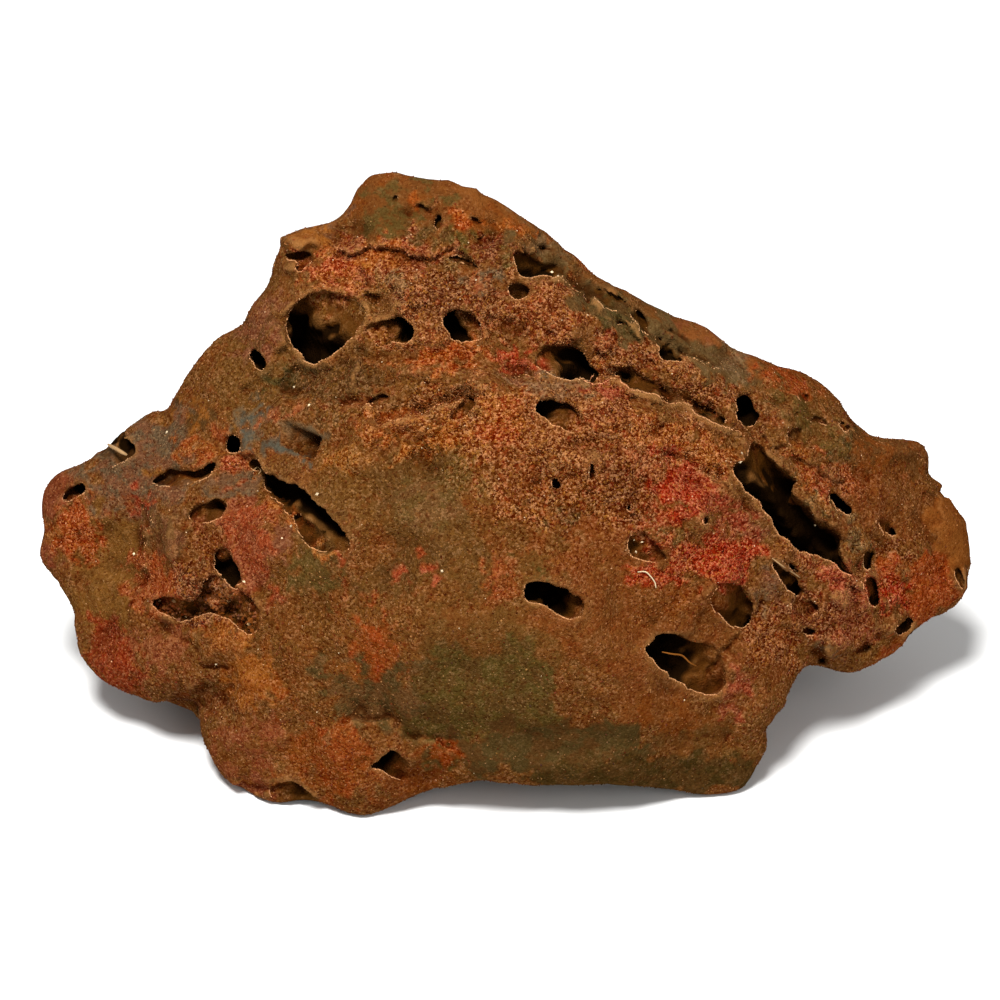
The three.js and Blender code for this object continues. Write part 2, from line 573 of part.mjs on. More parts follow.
// The stone before any gallery: a front and a back sheet of rings, sewn together at the rim.
function makeBody() {
  const vertices = [];
  const faces = [];
  const addRing = (ring) => ring.map(({ along, point }) => {
    vertices.push(point.x, point.y, point.z);
    return { along, index: vertices.length / 3 - 1 };
  });
  const addFace = (a, b, c, flipped) => {
    if (flipped) faces.push(a, c, b);
    else faces.push(a, b, c);
  };
  const sew = (inner, outer, flipped) => {
    let i = 0;
    let j = 0;
    const nextAlong = (ring, k) => (k + 1 < ring.length ? ring[k + 1].along : ring[0].along + 1);
    while (i < inner.length || j < outer.length) {
      const a = inner[i % inner.length].index;
      const b = outer[j % outer.length].index;
      const innerTurn = i < inner.length ? nextAlong(inner, i) : Infinity;
      const outerTurn = j < outer.length ? nextAlong(outer, j) : Infinity;
      if (outerTurn <= innerTurn) {
        j += 1;
        addFace(a, outer[j % outer.length].index, b, flipped);
      } else {
        i += 1;
        addFace(a, inner[i % inner.length].index, b, flipped);
      }
    }
  };
  const rim = addRing(makeRim());
  for (const side of [front, back]) {
    const flipped = side === back;
    const sewn = [...makeSideRings(side).map(addRing), rim];
    for (let i = 0; i + 1 < sewn.length; i += 1) sew(sewn[i], sewn[i + 1], flipped);
    const centre = sidePoint(side, 0, rimCurve.getPointAt(0));
    vertices.push(centre.x, centre.y, centre.z);
    const hub = vertices.length / 3 - 1;
    sewn[0].forEach(({ index }, k) => {
      const next = sewn[0][(k + 1) % sewn[0].length].index;
      addFace(hub, next, index, flipped);
    });
  }
  const geometry = new THREE.BufferGeometry();
  geometry.setAttribute("position", new THREE.Float32BufferAttribute(vertices, 3));
  geometry.setIndex(faces);
  return geometry;
}

// Closed tube with a changing oval section, through stations {centre, half}.
function makeTube(stations, widthwise, flat, sides) {
  const vertices = [];
  const faces = [];
  stations.forEach(({ centre, half }, i) => {
    const before = stations[Math.max(i - 1, 0)].centre;
    const after = stations[Math.min(i + 1, stations.length - 1)].centre;
    const ahead = after.clone().sub(before).normalize();
    const wide = widthwise.clone().addScaledVector(ahead, -widthwise.dot(ahead)).normalize();
    const high = new THREE.Vector3().crossVectors(ahead, wide);
    for (let k = 0; k < sides; k += 1) {
      const angle = (2 * Math.PI * k) / sides;
      const point = centre.clone()
        .addScaledVector(wide, half * Math.cos(angle))
        .addScaledVector(high, half * flat * Math.sin(angle));
      vertices.push(point.x, point.y, point.z);
    }
  });
  for (let i = 0; i + 1 < stations.length; i += 1) {
    for (let k = 0; k < sides; k += 1) {
      const a = i * sides + k;
      const b = i * sides + ((k + 1) % sides);
      faces.push(a, b, b + sides, a, b + sides, a + sides);
    }
  }
  const capFirst = vertices.length / 3;
  const first = stations[0].centre;
  const last = stations[stations.length - 1];
  const inward = last.centre.clone().sub(stations[stations.length - 2].centre).normalize();
  const tip = last.centre.clone().addScaledVector(inward, last.half * 0.8);
  vertices.push(first.x, first.y, first.z, tip.x, tip.y, tip.z);
  const lastRing = (stations.length - 1) * sides;
  for (let k = 0; k < sides; k += 1) {
    const next = (k + 1) % sides;
    faces.push(capFirst, next, k, capFirst + 1, lastRing + k, lastRing + next);
  }
  const geometry = new THREE.BufferGeometry();
  geometry.setAttribute("position", new THREE.Float32BufferAttribute(vertices, 3));
  geometry.setIndex(faces);
  return geometry;
}

function makeGallery({ stations, flat = 1, turn = 0, sides = BORE_SIDES }) {
  const angle = THREE.MathUtils.degToRad(turn);
  const widthwise = FACE_RIGHT.clone().multiplyScalar(Math.cos(angle))
    .addScaledVector(FACE_UP, Math.sin(angle));
  const placed = stations.map(([u, v, w, half]) => ({ centre: place(u, v, w), half }));
  return makeTube(placed, widthwise, flat, sides);
}

function makeBaseHollow([x, y, halfLength, halfWidth, height]) {
  const geometry = new THREE.SphereGeometry(1, 14, 8).rotateX(Math.PI / 2);
  geometry.scale(halfLength, halfWidth, height).translate(x, y, 0);
  const points = geometry.attributes.position;
  for (let i = 0; i < points.count; i += 1) {
    const wave = noise.noise3d(points.getX(i) / halfLength, points.getY(i) / halfWidth, height);
    const spread = 1 + 0.3 * wave;
    points.setX(i, x + (points.getX(i) - x) * spread);
    points.setY(i, y + (points.getY(i) - y) * spread);
  }
  return geometry;
}

function makeSplinterCast() {
  const { u, v, w, long, high, deep, turn } = SPLINTER;
  const geometry = new THREE.BoxGeometry(long, high, deep);
  const faceAxes = new THREE.Matrix4().makeBasis(FACE_RIGHT, FACE_UP, FACE_OUT);
  geometry.rotateZ(THREE.MathUtils.degToRad(turn));
  geometry.applyMatrix4(faceAxes);
  const centre = place(u, v, w);
  return geometry.translate(centre.x, centre.y, centre.z);
}

// From a closed three.js geometry to a solid that can be cut, and back.
function toSolid(geometry) {
  geometry.deleteAttribute("normal");
  geometry.deleteAttribute("uv");
  const merged = mergeVertices(geometry, 1e-4);
  return new wasm.Manifold(new wasm.Mesh({
    numProp: 3,
    vertProperties: new Float32Array(merged.attributes.position.array),
    triVerts: new Uint32Array(merged.index.array),
  }));
}

function toGeometry(solid) {
  const mesh = solid.getMesh();
  const geometry = new THREE.BufferGeometry();
  geometry.setAttribute("position", new THREE.BufferAttribute(mesh.vertProperties, 3));
  geometry.setIndex(new THREE.BufferAttribute(mesh.triVerts, 1));
  return geometry;
}

// All of the stone's own cutting and joining.
function makeStone() {
  const galleries = [
    ...frontGalleries.map(makeGallery),
    ...backGalleries.map(makeGallery),
    ...baseHollows.map(makeBaseHollow),
    makeSplinterCast(),
  ].map(toSolid);
  let hollow = galleries[0];
  for (const gallery of galleries.slice(1)) hollow = hollow.add(gallery);
  const stone = toSolid(makeBody()).subtract(hollow);
  const ground = new THREE.BoxGeometry(GROUND_BLOCK, GROUND_BLOCK, GROUND_BLOCK);
  ground.translate(0, 0, -GROUND_BLOCK / 2);
  const pieces = stone.subtract(toSolid(ground)).decompose();
  // A crumb that the galleries cut free would fall out, so only the largest piece is kept.
  pieces.sort((a, b) => b.volume() - a.volume());
  return pieces[0];
}

const stoneGeometry = toGeometry(makeStone());
stoneGeometry.computeBoundingBox();
const { min, max } = stoneGeometry.boundingBox;
// The face's own zero is not in the middle of the box, so the stone is moved by this shift.
const shift = { x: -(min.x + max.x) / 2, y: -(min.y + max.y) / 2 };
stoneGeometry.translate(shift.x, shift.y, 0);

const stone = new THREE.Mesh(
  stoneGeometry,
  new THREE.MeshStandardMaterial({ color: STONE_COLOUR, roughness: 0.9, metalness: 0 }),
);
stone.name = "termite_rock";

const part = new THREE.Group();
part.add(stone);
export default part;
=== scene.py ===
# %% [markdown]
# # A termite rock
# The object is one weathered laterite stone: hard rusty clay and sand, drilled through by
# termites. Its shape comes from a plain solid of about 10,000 triangles. This lesson dresses that
# solid as the real stone. Everything is in metres in Blender, but a stone this small is easier
# to think about in millimetres, so the lists below are in millimetres.

# %%
# Load the solid
import itertools
import math

import bmesh
import bpy
import numpy as np
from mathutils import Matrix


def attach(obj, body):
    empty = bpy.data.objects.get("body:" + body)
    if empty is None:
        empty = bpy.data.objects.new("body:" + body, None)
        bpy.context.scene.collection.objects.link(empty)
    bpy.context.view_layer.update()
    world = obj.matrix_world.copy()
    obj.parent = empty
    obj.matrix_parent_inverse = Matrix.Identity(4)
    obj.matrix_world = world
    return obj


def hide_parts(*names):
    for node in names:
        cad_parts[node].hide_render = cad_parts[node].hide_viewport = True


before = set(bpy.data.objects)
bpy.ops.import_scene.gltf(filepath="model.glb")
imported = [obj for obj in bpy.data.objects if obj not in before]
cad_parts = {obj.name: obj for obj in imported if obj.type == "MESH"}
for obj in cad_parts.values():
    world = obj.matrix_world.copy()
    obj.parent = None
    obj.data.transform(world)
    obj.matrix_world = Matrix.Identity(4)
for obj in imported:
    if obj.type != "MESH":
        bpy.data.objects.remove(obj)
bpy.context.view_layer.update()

import openvdb
from mathutils import Matrix, Vector
from mathutils.bvhtree import BVHTree

MM = 0.001
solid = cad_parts["termite_rock"]

# %% [markdown]
# ## The leaning face
# The broad face of the stone leans back by 30 degrees, and the photograph looks straight at
# it. So places on the face are given as on a wall: u to the right, v up along the face and w
# out of it, towards the eye. One small function turns such a place into x, y and z. The
# outline narrows a little with nearness, because the eye is only 90 cm away.

# %%
# Places on the face
FACE_TILT = math.radians(30)
FACE_ZERO = np.array([-1.37, -16.05, 68.85])  # where u, v and w are zero
EYE_DISTANCE = 900.0
RIGHT = np.array([1.0, 0.0, 0.0])
UP = np.array([0.0, math.sin(FACE_TILT), math.cos(FACE_TILT)])
OUT = np.array([0.0, -math.cos(FACE_TILT), math.sin(FACE_TILT)])


def place(u, v, w):
    narrowing = 1 - w / EYE_DISTANCE
    return FACE_ZERO + narrowing * (u * RIGHT + v * UP) + w * OUT


def face_places(points):
    offset = points - FACE_ZERO.astype(points.dtype)
    w = offset @ OUT.astype(points.dtype)
    narrowing = 1 - w / EYE_DISTANCE
    u = offset @ RIGHT.astype(points.dtype) / narrowing
    v = offset @ UP.astype(points.dtype) / narrowing
    return u, v, w


# %% [markdown]
# ## Camera, floor and light
# A product photograph of a stone is taken with a long lens, so that the stone looks solid and
# not swollen. The floor is plain and pale. Two large soft lamps and a bright room give the
# even light of the photograph, which leaves only the galleries dark.

# %%
# Camera
PICTURE_WIDTH = 250.0  # how much of the face the picture shows


def add_object(name, data):
    thing = bpy.data.objects.new(name, data)
    bpy.context.scene.collection.objects.link(thing)
    return thing


camera_data = bpy.data.cameras.new("camera")
camera_data.sensor_width = 36.0
camera_data.lens = camera_data.sensor_width * EYE_DISTANCE / PICTURE_WIDTH
camera_data.clip_start = 0.01
camera = add_object("camera", camera_data)
camera_axes = Matrix((RIGHT, UP, OUT)).transposed().to_4x4()
camera.matrix_world = Matrix.Translation(Vector(place(0, 0, EYE_DISTANCE)) * MM) @ camera_axes
bpy.context.scene.camera = camera
bpy.context.scene.view_settings.view_transform = "Standard"
print("lens", round(camera_data.lens, 1), "mm")

# %%
# Floor and lights
floor_mesh = bpy.data.meshes.new("floor")
FLOOR_HALF = 3.0
floor_corners = [(-FLOOR_HALF, -FLOOR_HALF, 0), (FLOOR_HALF, -FLOOR_HALF, 0),
                 (FLOOR_HALF, FLOOR_HALF, 0), (-FLOOR_HALF, FLOOR_HALF, 0)]
floor_mesh.from_pydata(floor_corners, [], [(0, 1, 2, 3)])
floor = add_object("floor", floor_mesh)

room = bpy.data.worlds.new("room")
room.use_nodes = True
room.node_tree.nodes["Background"].inputs["Color"].default_value = (1, 1, 1, 1)
room.node_tree.nodes["Background"].inputs["Strength"].default_value = 0.4
bpy.context.scene.world = room
LAMP_AIM = Vector((0, 0, 0.06))  # the middle of the stone, in metres


def add_soft_lamp(name, direction, distance, size, power):
    lamp = bpy.data.lights.new(name, "AREA")
    lamp.shape = "DISK"
    lamp.size = size
    lamp.energy = power
    holder = add_object(name, lamp)
    towards = Vector(direction).normalized()
    holder.location = towards * distance + LAMP_AIM
    holder.rotation_mode = "QUATERNION"
    holder.rotation_quaternion = towards.to_track_quat("Z", "Y")


add_soft_lamp("key_lamp", (-0.15, -0.45, 1.0), 1.3, 0.4, 36)
add_soft_lamp("side_lamp", (0.6, -1.0, 0.6), 1.5, 1.0, 6)

# %% [markdown]
# ## Wandering numbers
# Clay and rust are never even, so most steps below need numbers that wander smoothly from
# place to place. Blender has noise nodes for this, but they only paint, and here the clay
# itself has to be shaped. A block of random numbers in which only waves of one length are
# kept gives the same kind of noise to numpy. It repeats, so it serves for lumps of any size.

# %%
# A block of noise
NOISE_SIDE = 96  # samples along the block
WAVE = 8  # samples to one wave
WAVE_SPREAD = 0.4  # how far other waves may be from that one


def make_noise_block(seed):
    block = np.random.default_rng(seed).standard_normal((NOISE_SIDE,) * 3)
    along = np.fft.fftfreq(NOISE_SIDE)
    waves = np.sqrt(sum(axis**2 for axis in np.meshgrid(along, along, along)))
    kept = np.exp(-(((waves * WAVE - 1) / WAVE_SPREAD) ** 2))
    block = np.fft.ifftn(np.fft.fftn(block) * kept).real
    return (block / block.std()).astype(np.float32).ravel()


NOISE_BLOCK = make_noise_block(7)


def noise(points, size, shift=0.0):
    """Wanders about zero, mostly from -1.5 to 1.5, in waves about size long."""
    spot = points * np.float32(WAVE / size) + np.float32(shift)
    low = np.floor(spot)
    share = spot - low
    low = low.astype(np.int32) % NOISE_SIDE
    ends = (low, (low + 1) % NOISE_SIDE)
    shares = (1 - share, share)
    total = np.zeros(len(points), np.float32)
    for i in (0, 1):
        for j in (0, 1):
            row = (ends[i][:, 0] * NOISE_SIDE + ends[j][:, 1]) * NOISE_SIDE
            weight = shares[i][:, 0] * shares[j][:, 1]
            for k in (0, 1):
                total += weight * shares[k][:, 2] * NOISE_BLOCK[row + ends[k][:, 2]]
    return total


def rough_noise(points, size, layers, shift=0.0):
    """Noise with finer and weaker noise on top."""
    finer = [noise(points, size / 2**i, shift + 17 * i) / 2**i for i in range(layers)]
    return sum(finer)


def smooth_step(value, low, high):
    """Rises gently from 0 at low to 1 at high."""
    share = np.clip((value - low) / (high - low), 0, 1)
    return share * share * (3 - 2 * share)


# %% [markdown]
# ## The stone as clay
# The plain solid has flat facets 4 mm wide. Subdividing it would only round them. Sculpting
# tools need a mesh that can grow new shape anywhere, so the stone becomes clay instead: a
# block of small cells, each of which knows how far it is from the surface, below zero inside.
# Adding to these distances digs, and taking away builds up, with undercuts and holes as easy
# as dents. OpenVDB, which comes with Blender, turns a mesh into such a block and back.

# %%
# Fill the block
CELL = 0.65  # side of one cell in mm
BAND_CELLS = 10  # how many cells deep the distances are known
EMPTY_CELLS = 12  # empty cells round the stone
FACET_BLUR = 2.1  # cells


def mesh_arrays(mesh):
    places = np.empty(3 * len(mesh.vertices))
    mesh.vertices.foreach_get("co", places)
    mesh.calc_loop_triangles()
    triangles = np.empty(3 * len(mesh.loop_triangles), np.int32)
    mesh.loop_triangles.foreach_get("vertices", triangles)
    return places.reshape(-1, 3) / MM, triangles.reshape(-1, 3)


def blurred(values, spread):
    """Each cell becomes a weighted mean of its neighbours, out to a few times spread."""
    reach = math.ceil(2.5 * spread)
    weights = np.exp(-0.5 * (np.arange(-reach, reach + 1) / spread) ** 2)
    weights /= weights.sum()
    for axis in range(values.ndim):
        steps = zip(range(-reach, reach + 1), weights.astype(np.float32))
        values = sum(weight * np.roll(values, step, axis) for step, weight in steps)
    return values


corners, triangles = mesh_arrays(solid.data)
block_scale = openvdb.createLinearTransform(voxelSize=CELL)
plain_stone = openvdb.FloatGrid.createLevelSetFromPolygons(
    corners, triangles=triangles.astype(np.uint32), transform=block_scale, halfWidth=BAND_CELLS
)
first_cell = np.floor(corners.min(axis=0) / CELL).astype(int) - EMPTY_CELLS
last_cell = np.ceil(corners.max(axis=0) / CELL).astype(int) + EMPTY_CELLS
clay = np.empty(last_cell - first_cell, np.float32)
plain_stone.copyToArray(clay, ijk=tuple(int(i) for i in first_cell))
clay = blurred(clay, FACET_BLUR)
print("clay block", clay.shape, "cells of", CELL, "mm")

# %% [markdown]
# ## Two drawing boards
# What lies flat on a side of the stone, such as the edge of a crust or a stain, is easiest to
# draw on a board of marks half a millimetre apart, with u to the right and v up. There is one
# board for the front and one for the back. The clay, and later its skin, reads the mark that
# it lies behind. The reading place wanders a little, so that no drawn line stays straight.

# %%
# The boards
BOARD_STEP = 0.5
board_u = np.arange(-128, 128, BOARD_STEP)
board_v = np.arange(-94, 94, BOARD_STEP)
BOARD_U, BOARD_V = np.meshgrid(board_u, board_v)
paper = np.stack([BOARD_U, BOARD_V, 0 * BOARD_U], axis=-1).reshape(-1, 3).astype(np.float32)


def board_noise(size, layers=1, shift=0.0):
    return rough_noise(paper, size, layers, shift).reshape(BOARD_U.shape)


def read_board(board, u, v):
    """The value of the board at each place, between its four nearest marks."""
    column = np.clip((u - board_u[0]) / BOARD_STEP, 0, len(board_u) - 1.01)
    row = np.clip((v - board_v[0]) / BOARD_STEP, 0, len(board_v) - 1.01)
    left, low = column.astype(int), row.astype(int)
    across, up = column - left, row - low
    if board.ndim == 3:
        across, up = across[:, None], up[:, None]
    lower = board[low, left] * (1 - across) + board[low, left + 1] * across
    upper = board[low + 1, left] * (1 - across) + board[low + 1, left + 1] * across
    return (lower * (1 - up) + upper * up).astype(np.float32)


def turned(u, v, turn):
    """The same places on a board that is turned by some degrees."""
    cosine, sine = math.cos(math.radians(turn)), math.sin(math.radians(turn))
    return cosine * u + sine * v, cosine * v - sine * u


def beside(line, u, v):
    """How far each place is from a line, above zero on its right, and how far along it."""
    nearest = np.full(u.shape, np.inf)
    across = np.zeros(u.shape)
    along = np.zeros(u.shape)
    for i, ((u0, v0), (u1, v1)) in enumerate(zip(line, line[1:])):
        run_u, run_v = u1 - u0, v1 - v0
        share = np.clip(((u - u0) * run_u + (v - v0) * run_v) / (run_u**2 + run_v**2), 0, 1)
        away = np.hypot(u - u0 - share * run_u, v - v0 - share * run_v)
        on_right = run_v * (u - u0) > run_u * (v - v0)
        closer = away < nearest
        nearest = np.where(closer, away, nearest)
        across = np.where(closer, np.where(on_right, away, -away), across)
        along = np.where(closer, (i + share) / (len(line) - 1), along)
    return across, along


FRONT_EDGE = 8.0  # how far behind the face's zero the front ends, in the middle of the stone
FRONT_BEND = 40 / 116**2  # and how quickly that edge bends back towards both ends
FRONT_SOFTNESS = 5.0  # mm to either side of the edge


def front_share(u, w):
    """1 on the front of the stone and 0 on its back, with a soft change at the rim."""
    return smooth_step(w + FRONT_BEND * u**2 + FRONT_EDGE, -FRONT_SOFTNESS, FRONT_SOFTNESS)


print("boards", BOARD_U.shape, "marks")

# %% [markdown]
# ## Mouths of the galleries
# Termites dug the holes, and rain and roots have widened some. Each mouth has an outline of
# its own, and a floor that is a lit slope on one side and a black pit on the other. The
# solid has them with ten flat sides. Cutting with Boolean modifiers would leave knife edges
# and long thin faces. So the front is first mended as if it had no holes, and later each
# mouth is carved from the clay: along its outline, down to a floor that runs through a few
# posts of known depth.

# %%
# List the mouths of the front
# Each has the way that its tube leans, in mm per mm of depth, then posts (u, v, depth of the
# floor), then the outline.
front_mouths = [
    # the great hollow left of the crest, with a lit lobe
    ((-0.1, -0.2), [(-48.8, 41.2, 20), (-47, 37.5, 22), (-50, 45.5, 12), (-45.2, 39.8, 18),
      (-42.5, 38, 14), (-43, 49.5, 2), (-40.5, 50, 1.5), (-41.5, 45.8, 3.5), (-39.8, 48, 2.6),
      (-37.2, 44.8, 4.5), (-41, 43.8, 8), (-35.5, 47.8, 2), (-49.2, 49.2, 4), (-46.2, 50.8, 2.2),
      (-44.8, 47, 3.2), (-52.8, 43.8, 2.5)],
     [(-53.5, 44.5), (-52.2, 48), (-50, 50.2), (-46.8, 52), (-44, 52.5), (-37.5, 50.8), (-34.5, 49.2),
      (-33.5, 47), (-34.2, 43.8), (-38, 39.2), (-45.5, 34), (-47.5, 34), (-51.8, 39.2), (-53.2, 41.8)]),
    # the two small mouths beside it
    ((0.2, 0.1), [(-33, 41.8, 1), (-30, 41.8, 1.8), (-27.2, 42.2, 4), (-24.2, 42.5, 15),
      (-22.8, 41.5, 15)],
     [(-34.2, 42.2), (-32.5, 44), (-25.5, 45.8), (-23.8, 45.2), (-22, 43.8), (-21.2, 41.8), (-22.2, 40),
      (-23.8, 39.2), (-25.8, 39.5), (-28.8, 38.8), (-32, 38.8), (-34, 40.2)]),
    ((-0.1, 0.1), [(-12.8, 45, 14), (-11.2, 42.5, 15), (-9.8, 40.8, 12), (-7.5, 43.8, 3),
      (-5.5, 41.8, 1.6), (-9, 46.5, 2.5), (-6.5, 45.5, 1.8)],
     [(-14.2, 45.5), (-13.2, 47), (-11, 47.8), (-8.5, 47.2), (-6, 45.5), (-4.5, 43), (-4.5, 40.5),
      (-6.5, 39.2), (-11.5, 39.5), (-13, 41.5)]),
    ((0.1, 0.1), [(-61, 35.5, 9), (-59.5, 33.5, 10)],
     [(-62.5, 37), (-61.2, 37.8), (-60, 37.2), (-59, 35.5), (-58.5, 33.8), (-59.2, 32.2), (-60, 32.2),
      (-61.2, 33.5), (-62.2, 35.2)]),
    # the recess under the crest, and the pit below it
    ((0, -0.3), [(5.5, 58, 9), (9.5, 58, 9), (13, 58, 6), (5, 61, 4.5), (7.8, 60.5, 4.5),
      (14.5, 58, 3)],
     [(3.2, 61.2), (4.5, 62.2), (6.5, 62), (8.2, 60.5), (10, 59.5), (14, 59.5), (15.8, 58.2),
      (15.5, 57.2), (14, 56), (10.2, 56.8), (8.8, 56.2), (6.2, 56), (4.5, 57)]),
    ((0.1, -0.3), [(4.2, 52.2, 6), (3, 53, 4), (6, 52.2, 5)],
     [(2, 54), (3.2, 54.5), (5.5, 54.2), (7.2, 53.2), (7.2, 51.5), (6, 50.2), (4.5, 49.8), (3, 50.5),
      (2, 52)]),
    # the two large mouths on the long rim, and the small one above
    ((0.1, -0.3), [(17.5, 34.5, 16), (20.5, 32.8, 12), (16.2, 37, 8), (23, 32, 7), (10.5, 35.5, 1.5),
      (12.2, 34.2, 3), (11.5, 32.2, 2)],
     [(8.8, 35.5), (9.8, 37.5), (11.8, 38.5), (17, 39.2), (19.5, 38.2), (21, 36.8), (21.8, 34.5),
      (24.5, 32), (23, 31.2), (17, 30), (15, 31), (12.5, 31.5), (10.5, 32.5), (9.2, 33.8)]),
    ((-0.3, -0.3), [(31.5, 31.5, 14), (33.5, 30, 12), (36.5, 29.2, 5.5), (38.8, 28.5, 4),
      (40.5, 27.5, 2.2), (35.2, 31.5, 6), (32.5, 32.5, 8)],
     [(29.5, 32.2), (31, 33.2), (33.5, 33.2), (39.2, 30.2), (41.8, 26.8), (39.5, 26.8), (37.5, 27.2),
      (35, 28.2), (32.5, 28.5), (31, 29.5), (29.8, 30.8)]),
    ((-0.1, -0.3), [(42.5, 36.8, 11)],
     [(39.8, 39.2), (41, 39.8), (44.2, 37.8), (46.2, 35), (45, 34.5), (43.8, 34.8), (42, 34.5),
      (40.8, 35.8), (40, 37.5)]),
    # the slit in the long rim
    ((0, -0.3), [(51.2, 21.8, 5), (54, 20, 5)],
     [(48.5, 22.5), (50, 23.2), (51.8, 22.8), (53, 21.5), (54.2, 20.8), (55.8, 20.8), (57, 19.8),
      (55.5, 19), (53.8, 19.2), (50.5, 21.2), (49, 21.8)]),
    # the upright mouth near the right shoulder
    ((0, 0), [(61.5, 23, 15), (63, 21, 9)],
     [(59, 24.5), (59.8, 25.8), (61, 26.5), (62.2, 25.8), (64.8, 20.8), (64, 19.5), (62.5, 18.8),
      (61, 18.8), (59.5, 19.8), (59, 21.5), (59.5, 23)]),
    # the crack and the recess behind the long rim
    ((0, 0.2), [(35, 45.5, 4.5), (33.5, 47.2, 3)],
     [(32.8, 48), (34, 48.2), (35.5, 46.5), (36.5, 44.5), (37, 42.2), (35.8, 42.5)]),
    ((0, 0.2), [(28, 49.5, 3), (25.8, 51, 2.2), (31.2, 48.2, 1.6)],
     [(24, 52.2), (26.2, 52.5), (29, 51.2), (33.2, 48.2), (32.2, 47.2), (27, 47.5), (25, 49.8)]),
    # the long channel
    ((-0.2, -0.2), [(65, 12, 3.5), (64.2, 7.5, 6), (68, 6, 7), (71.5, 3.2, 9), (61.8, 8, 7),
      (60.5, 6, 9), (65, 2.5, 15), (69, -1.2, 22), (72.5, -4.5, 24), (76.5, -8.8, 24), (81, -12.5, 20),
      (74.5, -8, 25), (85, -15.5, 12), (83.2, -10, 9), (78.8, -5, 12), (84.5, -12.5, 8),
      (75, -0.8, 12)],
     [(58.5, 8), (59.2, 9.5), (61, 10), (62.5, 10.8), (62.2, 12.8), (63.5, 14.8), (64.8, 14),
      (67.8, 10), (72.5, 6), (74.2, 5), (73.2, 2), (74.2, 0), (77, -1.5), (78.2, -3.8), (84, -8.2),
      (85, -10), (85.2, -13), (86, -15), (87.2, -16.8), (88.2, -19), (86.5, -18.5), (82.5, -15.2),
      (80.8, -14.2), (75.8, -13.5), (72, -10.2), (70, -9), (67.8, -4.5), (64, 0.5), (61.8, 2),
      (59.8, 4.5), (58.8, 6.5)]),
    # the bean-shaped mouths right of the channel
    ((0, 0), [(85, -1, 11), (86.8, -2.8, 8)],
     [(82.2, 1.2), (83.2, 1.8), (84.5, 1.2), (87.8, -1.8), (88, -3.2), (86.8, -3.8), (83.5, -1.8),
      (82.5, -0.2)]),
    ((0.3, -0.1), [(97.2, -7.5, 6), (95, -6, 2)],
     [(94, -5), (95.2, -5), (98.5, -7.5), (99, -9), (97.8, -9), (96, -8), (94.5, -6.5)]),
    ((0, 0), [(91.8, -15.5, 4.5)],
     [(91, -13.2), (92, -12.5), (92.8, -13.5), (93, -15.5), (92.8, -17.2), (91.8, -17.8),
      (90.8, -16.5)]),
    ((0.1, -0.1), [(92.8, -22, 3.5), (93.5, -25, 6)],
     [(91.2, -19.5), (92.5, -19), (94, -20), (94.8, -22.5), (95, -25), (94, -27), (92.5, -26.2),
      (91.2, -21.5)]),
    ((0.1, 0), [(101.5, -31, 7)],
     [(99, -32.2), (100.5, -30), (102.2, -29), (103.5, -29.2), (103.2, -31), (101.8, -32.8),
      (100.2, -33.8), (99, -33.2)]),
    ((0, 0), [(115, -19.8, 2.6)],
     [(113.8, -17.2), (114.8, -17), (115.8, -18.5), (116.2, -20.5), (116.2, -22.5), (115.2, -22.5),
      (113.5, -18.8)]),
    # the double pocket, with a thin web across it
    ((-0.1, 0.1), [(72.5, -16.5, 4.5), (70, -15.2, 3)],
     [(69, -14), (73.2, -16), (75, -17.8), (75, -18.8), (72.8, -17.5), (70.5, -15.8)]),
    ((-0.1, 0.1), [(71, -19, 6), (73.8, -22.5, 7.5), (69, -16.5, 5), (72.8, -20, 4)],
     [(67.5, -14.8), (74.8, -19.8), (75.2, -22), (74.5, -24.5), (73, -23.8), (68.5, -17.5)]),
    # the brown bowl and the largest mouths of the belly
    ((0.1, 0), [(57.5, -25, 3.2), (55.2, -24.5, 2.2), (60, -25.8, 3.8), (58, -29.5, 6),
      (60.5, -30.2, 6), (54, -25, 1.8), (61.5, -27.5, 3)],
     [(52.2, -25.8), (53, -23.5), (54.2, -21.5), (56, -20.5), (57.8, -20.2), (59.5, -21.2),
      (62.8, -25.5), (63.2, -28), (62.5, -30.5), (61.2, -31.8), (59.2, -31.8), (57.2, -31),
      (53.5, -27.5)]),
    ((-0.5, 0.1), [(41, -37.5, 22), (45, -40.2, 20), (38.8, -37.5, 16), (47.8, -42.3, 15),
      (46, -36.2, 16), (52, -41, 4.5), (49.3, -41.5, 11), (53, -45, 3), (49.8, -46, 5),
      (53.8, -38.8, 2.2), (55, -43, 1.4), (49, -37.5, 6.5)],
     [(36.5, -38), (37.2, -35.8), (39, -34.2), (41, -33.5), (43.5, -33.5), (45.8, -34), (47.5, -35.2),
      (53.5, -36.5), (55.2, -38), (55.8, -40.5), (56.5, -46), (55.2, -48), (52.8, -49), (50, -48.5),
      (47, -47), (44, -45), (38.2, -40.2)]),
    ((-0.3, 0.2), [(8.8, -23, 18), (12.5, -24, 20), (16.2, -25.8, 16), (17.8, -27.8, 7),
      (19.5, -26.5, 3.5), (11.5, -26.8, 6), (20.5, -27.8, 2)],
     [(6.2, -23), (6.8, -21.2), (8.2, -20.5), (10.8, -20.5), (13, -21), (18, -23.2), (20, -24.5),
      (21.2, -26.2), (21, -28), (19.2, -29.5), (17.2, -29.8), (15.2, -29), (11.5, -26.5), (9.2, -25.8),
      (7.2, -25.5), (6.2, -24.5)]),
    ((-0.4, 0), [(11.2, 23.2, 11), (13, 22, 12), (14.8, 23, 8), (17, 21.5, 3.5), (15.5, 19.2, 4),
      (19.2, 19.2, 1.8), (21, 18, 0.6)],
     [(9, 23.5), (10, 24.8), (12, 25.2), (14, 25), (18, 24), (19.2, 22.8), (20.2, 21), (22, 18.8),
